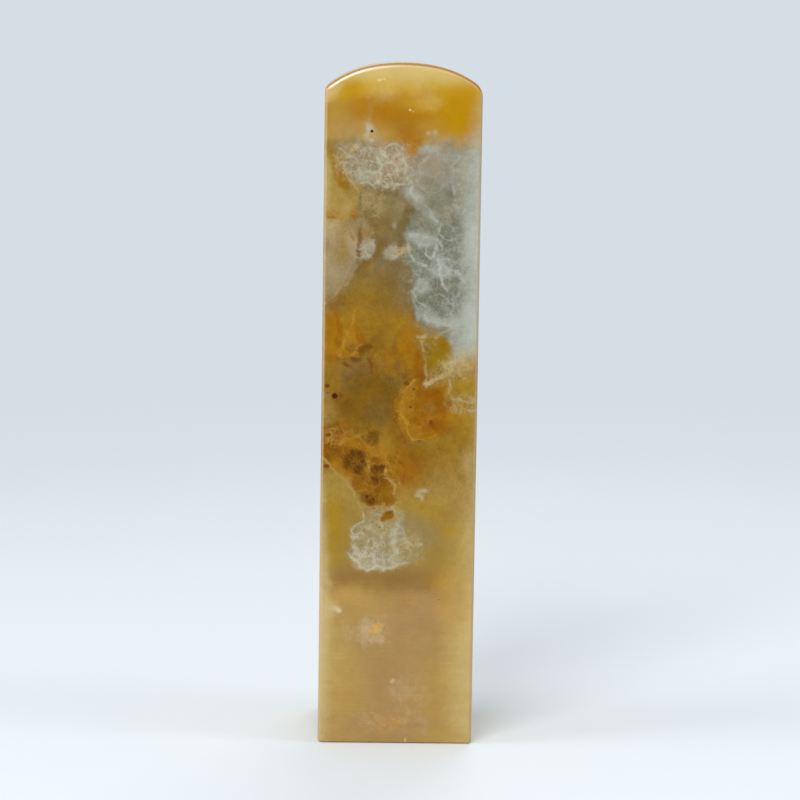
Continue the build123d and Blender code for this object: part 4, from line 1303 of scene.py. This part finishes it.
# A thread's bright core fades out one width to each side, and its haze three
thread_core = (1, 0.3)
thread_haze_width = 3
thread_haze_strength = 0.12
thread_depth = 6  # how much deeper than wide each is


def lay_threads(tree, colour, name, threads, thread_group, point, swell, fade):
    """Lays thin threads that swell, fade and fray, each with a little haze about it."""
    inputs = (("Colour", "Color"), ("Point", "Vector"), ("Swell", "Float"), ("Fade", "Float"))
    group, given, filled = start_group(name, inputs, (("Colour", "Color"),))
    below = given["Colour"]
    for above, places, width, strength in threads:
        distance = None
        for (x, z), (next_x, next_z) in zip(places, places[1:]):
            run = Vector((next_x - x, 0, next_z - z))
            sockets = {
                "Point": given["Point"],
                "Start": (x, 0, z),
                "Run": run,
                "Reach": run / run.length_squared,
            }
            stretch = place_group(group, thread_group, sockets).outputs["Distance"]
            distance = work_out(group, "MINIMUM", distance, stretch) if distance else stretch
        share = work_out(group, "DIVIDE", distance, width)
        share = work_out(group, "DIVIDE", share, given["Swell"])
        core = product(group, ease(group, share, *thread_core), given["Fade"])
        haze = ease(group, share, thread_haze_width, 0, 0, thread_haze_strength)
        mask = product(group, work_out(group, "MAXIMUM", core, haze), strength)
        below = lay_over(group, below, above, mask)
    group.links.new(below, filled["Colour"])
    sockets = {"Colour": colour, "Point": point, "Swell": swell, "Fade": fade}
    return place_group(tree, group, sockets).outputs["Colour"]


mottle_roughness = 0.6


def mottle(tree, colour, point, grain, strength, detail=4):
    """Lightens and darkens a colour in blots of one grain, in millimetres."""
    noise = fractal(tree, point, grain, detail, mottle_roughness)
    grey = add_node(tree, "ShaderNodeCombineColor", {0: noise, 1: noise, 2: noise}).outputs[0]
    return lay_over(tree, colour, grey, strength, blend="SOFT_LIGHT")


def mottle_figure(tree, colour, point, figured, grain, more, least, detail=4):
    """Mottles all the stone at the least strength, and the figured zone by as much more."""
    strength = work_out(tree, "MULTIPLY_ADD", figured, more, least)
    return mottle(tree, colour, point, grain, strength, detail)


def make_ground(tree, point, broad):
    """The ground of the stone, which changes with height in loose bands and is painted brighter towards the
    crown.
    """
    level = along_axis(tree, point, UPWARD)
    shift = product(tree, broad, ground_waver)
    share = work_out(tree, "DIVIDE", work_out(tree, "ADD", level, shift), height)
    ramp = add_node(tree, "ShaderNodeValToRGB", {0: share})
    stops = ramp.color_ramp.elements
    stops[0].color = GROUND[0][1]
    stops[1].color = GROUND[-1][1]
    for stop_level, colour in GROUND[1:-1]:
        stops.new(stop_level / height).color = colour
    return ramp.outputs["Color"]


# How far noise moves the figure and the threads, and the grain of that noise, in millimetres
figure_wander = {"grain": 2.2, "reach": 0.4, "detail": 6}
thread_wander = {"grain": 1.6, "reach": 0.3}
thread_fray = {"grain": 0.5, "reach": 0.16}

# The grain that eats the patches' outlines
broad_noise = {"grain": 4.0, "detail": 6, "roughness": 0.65}
fine_noise = {"grain": 0.9, "detail": 4, "roughness": 0.65}
fine_share = 1.3

# The figured zone, between the plain foot and the cap, in millimetres above the seal face
figured_foot = (26, 35)
figured_cap = (80, 77)

# Mottles, each stronger on the figured zone
broad_mottle = {"grain": 3.5, "more": 0.2, "least": 0.22}
small_mottle = {"grain": 0.8, "more": 0.26, "least": 0.1}
last_mottle = {"grain": 0.3, "more": 0.2, "least": 0.08, "detail": 2}

# Level bedding in the plain foot and, at half strength, in the cap
bedding_stretch = (0.2, 0.2, 3.4)
bedding_grain = 1.0
bedding_detail = 5
bedding_strength = 0.15
bedded_foot = (23, 20)
bedded_cap = (79, 82, 0, 0.5)

# Orange specks in loose clouds, low down
speck_stretch = (0.5, 0.5, 1.3)
speck_noise = {"grain": 0.4, "detail": 3, "roughness": 0.7}
speck_rise = (0.54, 0.68)
speck_cloud_noise = {"grain": 4.0, "detail": 4, "roughness": 0.6}
speck_cloud_rise = (0.46, 0.62)
speckled_foot = (24, 20)
speck_strength = 0.5

# How single threads swell and fade along their way
swell_noise = {"grain": 1.1, "detail": 4, "roughness": 0.7}
swell_rise = (0.3, 0.7, 0.45, 1.6)
fade_noise = {"grain": 1.3, "detail": 4, "roughness": 0.65}
fade_rise = (0.36, 0.6, 0.2, 1)


def lay_bedding(tree, colour, point, level):
    """Level bedding in the plain stone, and orange specks low down."""
    bedded = work_out_vector(tree, "MULTIPLY", point, bedding_stretch)
    plain = work_out(tree, "MAXIMUM", ease(tree, level, *bedded_foot), ease(tree, level, *bedded_cap))
    strength = product(tree, plain, bedding_strength)
    colour = mottle(tree, colour, bedded, bedding_grain, strength, bedding_detail)
    streaked = work_out_vector(tree, "MULTIPLY", point, speck_stretch)
    specks = ease(tree, fractal(tree, streaked, **speck_noise), *speck_rise)
    speckled = ease(tree, fractal(tree, bedded, **speck_cloud_noise), *speck_cloud_rise)
    speckled = product(tree, speckled, ease(tree, level, *speckled_foot, 0, speck_strength))
    return lay_over(tree, colour, SPECK_ORANGE, product(tree, specks, speckled))


def lay_laces(tree, colour, patch_group, point, grain):
    """Pale lace of four kinds, where its patches lie."""
    lace_group = make_lace_group()
    for name, patches, size, broad_start, fine_start, haze in LACES:
        sockets = {
            "Point": point,
            "Size": size,
            "Broad Start": broad_start,
            "Fine Start": fine_start,
            "Haze": haze,
        }
        lace = place_group(tree, lace_group, sockets).outputs["Lace"]
        colour = lay_patches(tree, colour, name, patches, patch_group, point, grain, lace)
    return colour


def lay_single_threads(tree, colour, point):
    """Single threads that lie along the front face, and are gone behind it."""
    thread_group = make_thread_group()
    frayed = wander(tree, wander(tree, point, **thread_wander), **thread_fray)
    moved = work_out_vector(tree, "ADD", frayed, (0, half_depth, 0))
    flat = work_out_vector(tree, "MULTIPLY", moved, (1, 1 / thread_depth, 1))
    swell = ease(tree, fractal(tree, point, **swell_noise), *swell_rise)
    fade = ease(tree, fractal(tree, point, **fade_noise), *fade_rise)
    for name, threads in THREADS:
        colour = lay_threads(tree, colour, name, threads, thread_group, flat, swell, fade)
    return colour


# Painted light along the arrises: a highlight on the corners, shade on the crown's bevel and top, and a
# highlight along the crown's front bevel, with bounds in millimetres in from the block's flat faces
arris_bounds = (0.4, 0.25)
arris_highlight_strength = 0.6
crown_foot = (84.3, 85.0)  # above the seal face
# Painted shade on the crown's bevel and, more faintly, on its top: bounds and strengths
crown_bounds = (0.8, 0.5)
crown_rim_bounds = (0.07, 0.17)
crown_shade_strength = 0.9
top_shade_strength = 0.3
# Painted highlight along the crown's front bevel: its bounds, and its strength, which grows from the right
# towards the lamps on the left
highlight_outer_bounds = (0.001, 0.01)
highlight_inner_bounds = (0.2, 0.1)
highlight_sweep = (2, -7)  # from the right to the left
highlight_strength = (0.12, 1)


def within(tree, distance, face, bounds, start=0, end=1):
    """Goes smoothly from the start to the end between two bounds, which are lengths in from a face."""
    low, high = bounds
    return ease(tree, distance, face - low, face - high, start, end)


def paint_arris_light_and_shade(tree, colour, point, level):
    """Painted light: a peach highlight on the corners, amber shade on the crown's bevel and top, and a
    bright highlight along the crown's front bevel.
    """
    from_middle = work_out(tree, "ABSOLUTE", along_axis(tree, point, BACKWARD))
    across = along_axis(tree, point, ACROSS)
    from_side = work_out(tree, "ABSOLUTE", across)
    # Painted highlight: a paler peach along the vertical corners
    front_arris = within(tree, from_middle, half_depth, arris_bounds)
    corner_highlight = product(tree, front_arris, within(tree, from_side, half_width, arris_bounds))
    colour = lay_over(tree, colour, ARRIS_HIGHLIGHT_PEACH, product(tree, corner_highlight, arris_highlight_strength))
    # Painted shade: amber over the crown's bevel, and fainter over its top
    high = ease(tree, level, *crown_foot)
    behind = within(tree, from_middle, half_depth, crown_bounds, top_shade_strength, crown_shade_strength)
    crown = product(tree, high, behind, within(tree, from_middle, half_depth, crown_rim_bounds))
    colour = lay_over(tree, colour, CROWN_SHADE_AMBER, crown)
    # Painted highlight: a bright cream line along the crown's front bevel, strongest on the left
    rim_highlight = within(tree, from_middle, half_depth, highlight_outer_bounds)
    rim_highlight = product(tree, rim_highlight, within(tree, from_middle, half_depth, highlight_inner_bounds), high)
    rim_highlight = product(tree, rim_highlight, ease(tree, across, *highlight_sweep, *highlight_strength))
    return lay_over(tree, colour, RIM_HIGHLIGHT_CREAM, rim_highlight)


def colour_stone(tree, point, level, patch_group):
    """The stone's colour: ground, figure, bedding, lace, threads and spots, then the painted highlights and
    shade along its arrises.
    """
    bent = wander(tree, point, **figure_wander)
    broad = work_out(tree, "SUBTRACT", fractal(tree, point, **broad_noise), noise_middle)
    fine = work_out(tree, "SUBTRACT", fractal(tree, point, **fine_noise), noise_middle)
    grain = work_out(tree, "ADD", broad, product(tree, fine, fine_share))
    figured = product(tree, ease(tree, level, *figured_foot), ease(tree, level, *figured_cap))

    colour = make_ground(tree, bent, broad)
    for name, patches in FIGURE:
        colour = lay_patches(tree, colour, name, patches, patch_group, bent, grain)
    colour = mottle_figure(tree, colour, point, figured, **broad_mottle)
    colour = mottle_figure(tree, colour, point, figured, **small_mottle)
    colour = lay_bedding(tree, colour, point, level)
    colour = lay_laces(tree, colour, patch_group, bent, grain)
    colour = lay_single_threads(tree, colour, point)
    colour = lay_patches(tree, colour, "spots", SPOTS, patch_group, point, fine)
    colour = mottle_figure(tree, colour, point, figured, **last_mottle)
    return paint_arris_light_and_shade(tree, colour, point, level)


# Polish, and the roughness of the ground seal face
polish = (0.13, 0.22)
rub_noise = {"grain": 3.0, "detail": 5, "roughness": 0.65}
rub_rise = (0.3, 0.7)
ground_face_top = (0.12, 0.04)
grinding_roughness = 0.35

# Relief, with its heights in millimetres
wave_noise = {"grain": 6.0, "detail": 2, "roughness": 0.4}
wave_height = 0.012
grit_noise = {"grain": 0.2, "detail": 2, "roughness": 0.5}
grit_height = 0.0006
mark_stretch = (0.12, 1, 1)
mark_noise = {"grain": 0.12, "detail": 3, "roughness": 0.6}
mark_height = 0.012
pinhole_radius = 0.2
pinhole_softness = 0.5
pinhole_depth = 0.12

# What the light does in the stone
stone_ior = 1.54
polish_reflection = 0.06
glow_share = 0.15
glow_reach = (1.0, 0.6, 0.35)
glow_scale = 1.0 * MM


def polish_surface(tree, point, level, patch_group):
    """The roughness and the relief: a polished stone whose seal face is only ground."""
    ground_face = ease(tree, level, *ground_face_top)
    rubbed = ease(tree, fractal(tree, point, **rub_noise), *rub_rise, *polish)
    rough = work_out(tree, "MULTIPLY_ADD", ground_face, grinding_roughness, rubbed)
    marked = work_out_vector(tree, "MULTIPLY", point, mark_stretch)
    marks = product(tree, fractal(tree, marked, **mark_noise), ground_face)
    relief = product(tree, fractal(tree, point, **wave_noise), wave_height)
    relief = work_out(tree, "MULTIPLY_ADD", fractal(tree, point, **grit_noise), grit_height, relief)
    relief = work_out(tree, "MULTIPLY_ADD", marks, mark_height, relief)
    sockets = {
        "Point": point,
        "Middle": (pinhole_x, -half_depth, pinhole_z),
        "Half Size": (pinhole_radius,) * 3,
        "Softness": pinhole_softness,
    }
    hole = place_group(tree, patch_group, sockets).outputs["Mask"]
    relief = work_out(tree, "MULTIPLY_ADD", hole, -pinhole_depth, relief)
    bump = add_node(tree, "ShaderNodeBump", {"Height": relief, "Distance": MM}).outputs["Normal"]
    return rough, bump


def finish_stone(stone):
    """Polished figured stone."""
    material = bpy.data.materials.new("polished_figured_stone")
    material.use_nodes = True
    tree = material.node_tree
    tree.nodes.clear()
    place = add_node(tree, "ShaderNodeTexCoord").outputs["Object"]
    point = stretch_vector(tree, place, 1 / MM)
    level = along_axis(tree, point, UPWARD)
    patch_group = make_patch_group()
    colour = colour_stone(tree, point, level, patch_group)
    rough, bump = polish_surface(tree, point, level, patch_group)
    sockets = {
        "Base Color": colour,
        "Roughness": rough,
        "Normal": bump,
        "IOR": stone_ior,
        "Specular IOR Level": polish_reflection,
        "Subsurface Weight": glow_share,
        "Subsurface Radius": glow_reach,
        "Subsurface Scale": glow_scale,
    }
    shader = add_node(tree, "ShaderNodeBsdfPrincipled", sockets)
    add_node(tree, "ShaderNodeOutputMaterial", {"Surface": shader.outputs["BSDF"]})
    stone.data.materials.append(material)


# Camera, from the outline's perspective in the photograph
camera_place = (-7.2, -365.9, 91.0)
camera_pitch = radians(7.35)
camera_yaw = radians(1.17)
camera_roll = radians(0.853)
camera_lens = 126
camera_sensor = 36
camera_near = 0.01  # metres
camera_far = 20


def place_camera():
    """Stands the camera where the photograph was taken from."""
    ahead = cos(camera_pitch)
    forward = Vector((sin(camera_yaw) * ahead, cos(camera_yaw) * ahead, -sin(camera_pitch)))
    level = Vector((cos(camera_yaw), -sin(camera_yaw), 0))
    upright = level.cross(forward)
    right = cos(camera_roll) * level + sin(camera_roll) * upright
    up = cos(camera_roll) * upright - sin(camera_roll) * level
    data = bpy.data.cameras.new("photo_camera")
    data.lens = camera_lens
    data.sensor_width = camera_sensor
    data.clip_start = camera_near
    data.clip_end = camera_far
    camera = bpy.data.objects.new("photo_camera", data)
    turn = Matrix((right, up, -forward)).transposed()
    camera.matrix_world = Matrix.Translation(metres(*camera_place)) @ turn.to_4x4()
    bpy.context.scene.collection.objects.link(camera)
    bpy.context.scene.camera = camera


# Lamps: name, place, width and height in millimetres, and power in watts
SOFTBOXES = (
    ("front_softbox", (-180, -420, 420), 260, 260, 1.6),
    ("left_softbox", (-400, -80, 320), 220, 260, 0.6),
    ("right_softbox", (420, -100, 320), 160, 240, 0.42),
    ("back_softbox", (120, 430, 360), 260, 260, 0.5),
)


def add_softbox(name, place, width, height_of_box, power):
    """A soft light, turned to the middle of the stone."""
    data = bpy.data.lights.new(name, "AREA")
    data.shape = "RECTANGLE"
    data.size = width * MM
    data.size_y = height_of_box * MM
    data.energy = power
    box = bpy.data.objects.new(name, data)
    box.location = metres(*place)
    aim = metres(0, 0, height / 2) - box.location
    box.rotation_euler = aim.to_track_quat("-Z", "Y").to_euler()
    bpy.context.scene.collection.objects.link(box)


# Stage: a pale floor that fades into a pale room, and the light that the room gives
floor_tone = tone(238, 246, 252, 0)
floor_roughness = 0.6
floor_size = 12  # metres, as are the two distances from the stone where the floor fades
fade_start = 0.07
fade_end = 0.36
room_tone = tone(214, 222, 229, 0)
room_light = 0.42
room_light_colour = (1, 1, 1, 1)


def seen_directly(tree):
    """Is 1 for what the camera sees, straight or in a polished surface, and 0 for light on things."""
    path = add_node(tree, "ShaderNodeLightPath").outputs
    seen = work_out(tree, "MAXIMUM", path["Is Camera Ray"], path["Is Glossy Ray"])
    return work_out(tree, "MAXIMUM", seen, path["Is Transmission Ray"])


def mix_shaders(tree, first, second, share):
    """Mixes two shaders, the second by its share."""
    return add_node(tree, "ShaderNodeMixShader", {0: share, 1: first, 2: second}).outputs["Shader"]


def set_floor():
    """A pale floor that keeps the stone's shadow and fades into the room's tone."""
    bpy.ops.object.select_all(action="DESELECT")
    bpy.ops.mesh.primitive_plane_add(size=floor_size, location=(0, 0, 0))
    floor = bpy.context.object
    floor.name = "floor"
    material = bpy.data.materials.new("pale_floor")
    material.use_nodes = True
    tree = material.node_tree
    surface = tree.nodes["Principled BSDF"]
    surface.inputs["Base Color"].default_value = floor_tone
    surface.inputs["Roughness"].default_value = floor_roughness
    place = add_node(tree, "ShaderNodeTexCoord").outputs["Object"]
    faded = ease(tree, work_out_vector(tree, "LENGTH", place), fade_start, fade_end)
    faded = product(tree, faded, seen_directly(tree))
    glow = add_node(tree, "ShaderNodeEmission", {"Color": room_tone, "Strength": 1})
    mixed = mix_shaders(tree, surface.outputs["BSDF"], glow.outputs["Emission"], faded)
    tree.links.new(mixed, tree.nodes["Material Output"].inputs["Surface"])
    floor.data.materials.append(material)


def set_room():
    """The pale room, which lights the stone less than it shows behind it."""
    world = bpy.data.worlds.new("pale_room")
    world.use_nodes = True
    tree = world.node_tree
    light = tree.nodes["Background"]
    light.inputs["Color"].default_value = room_light_colour
    light.inputs["Strength"].default_value = room_light
    view = add_node(tree, "ShaderNodeBackground", {"Color": room_tone, "Strength": 1})
    mixed = mix_shaders(tree, light.outputs["Background"], view.outputs["Background"], seen_directly(tree))
    tree.links.new(mixed, tree.nodes["World Output"].inputs["Surface"])
    bpy.context.scene.world = world


stone = model_stone()
finish_stone(stone)
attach(stone, "root")
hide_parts("seal_stone")

set_floor()
set_room()
place_camera()
for softbox in SOFTBOXES:
    add_softbox(*softbox)
bpy.context.scene.view_settings.view_transform = "Standard"
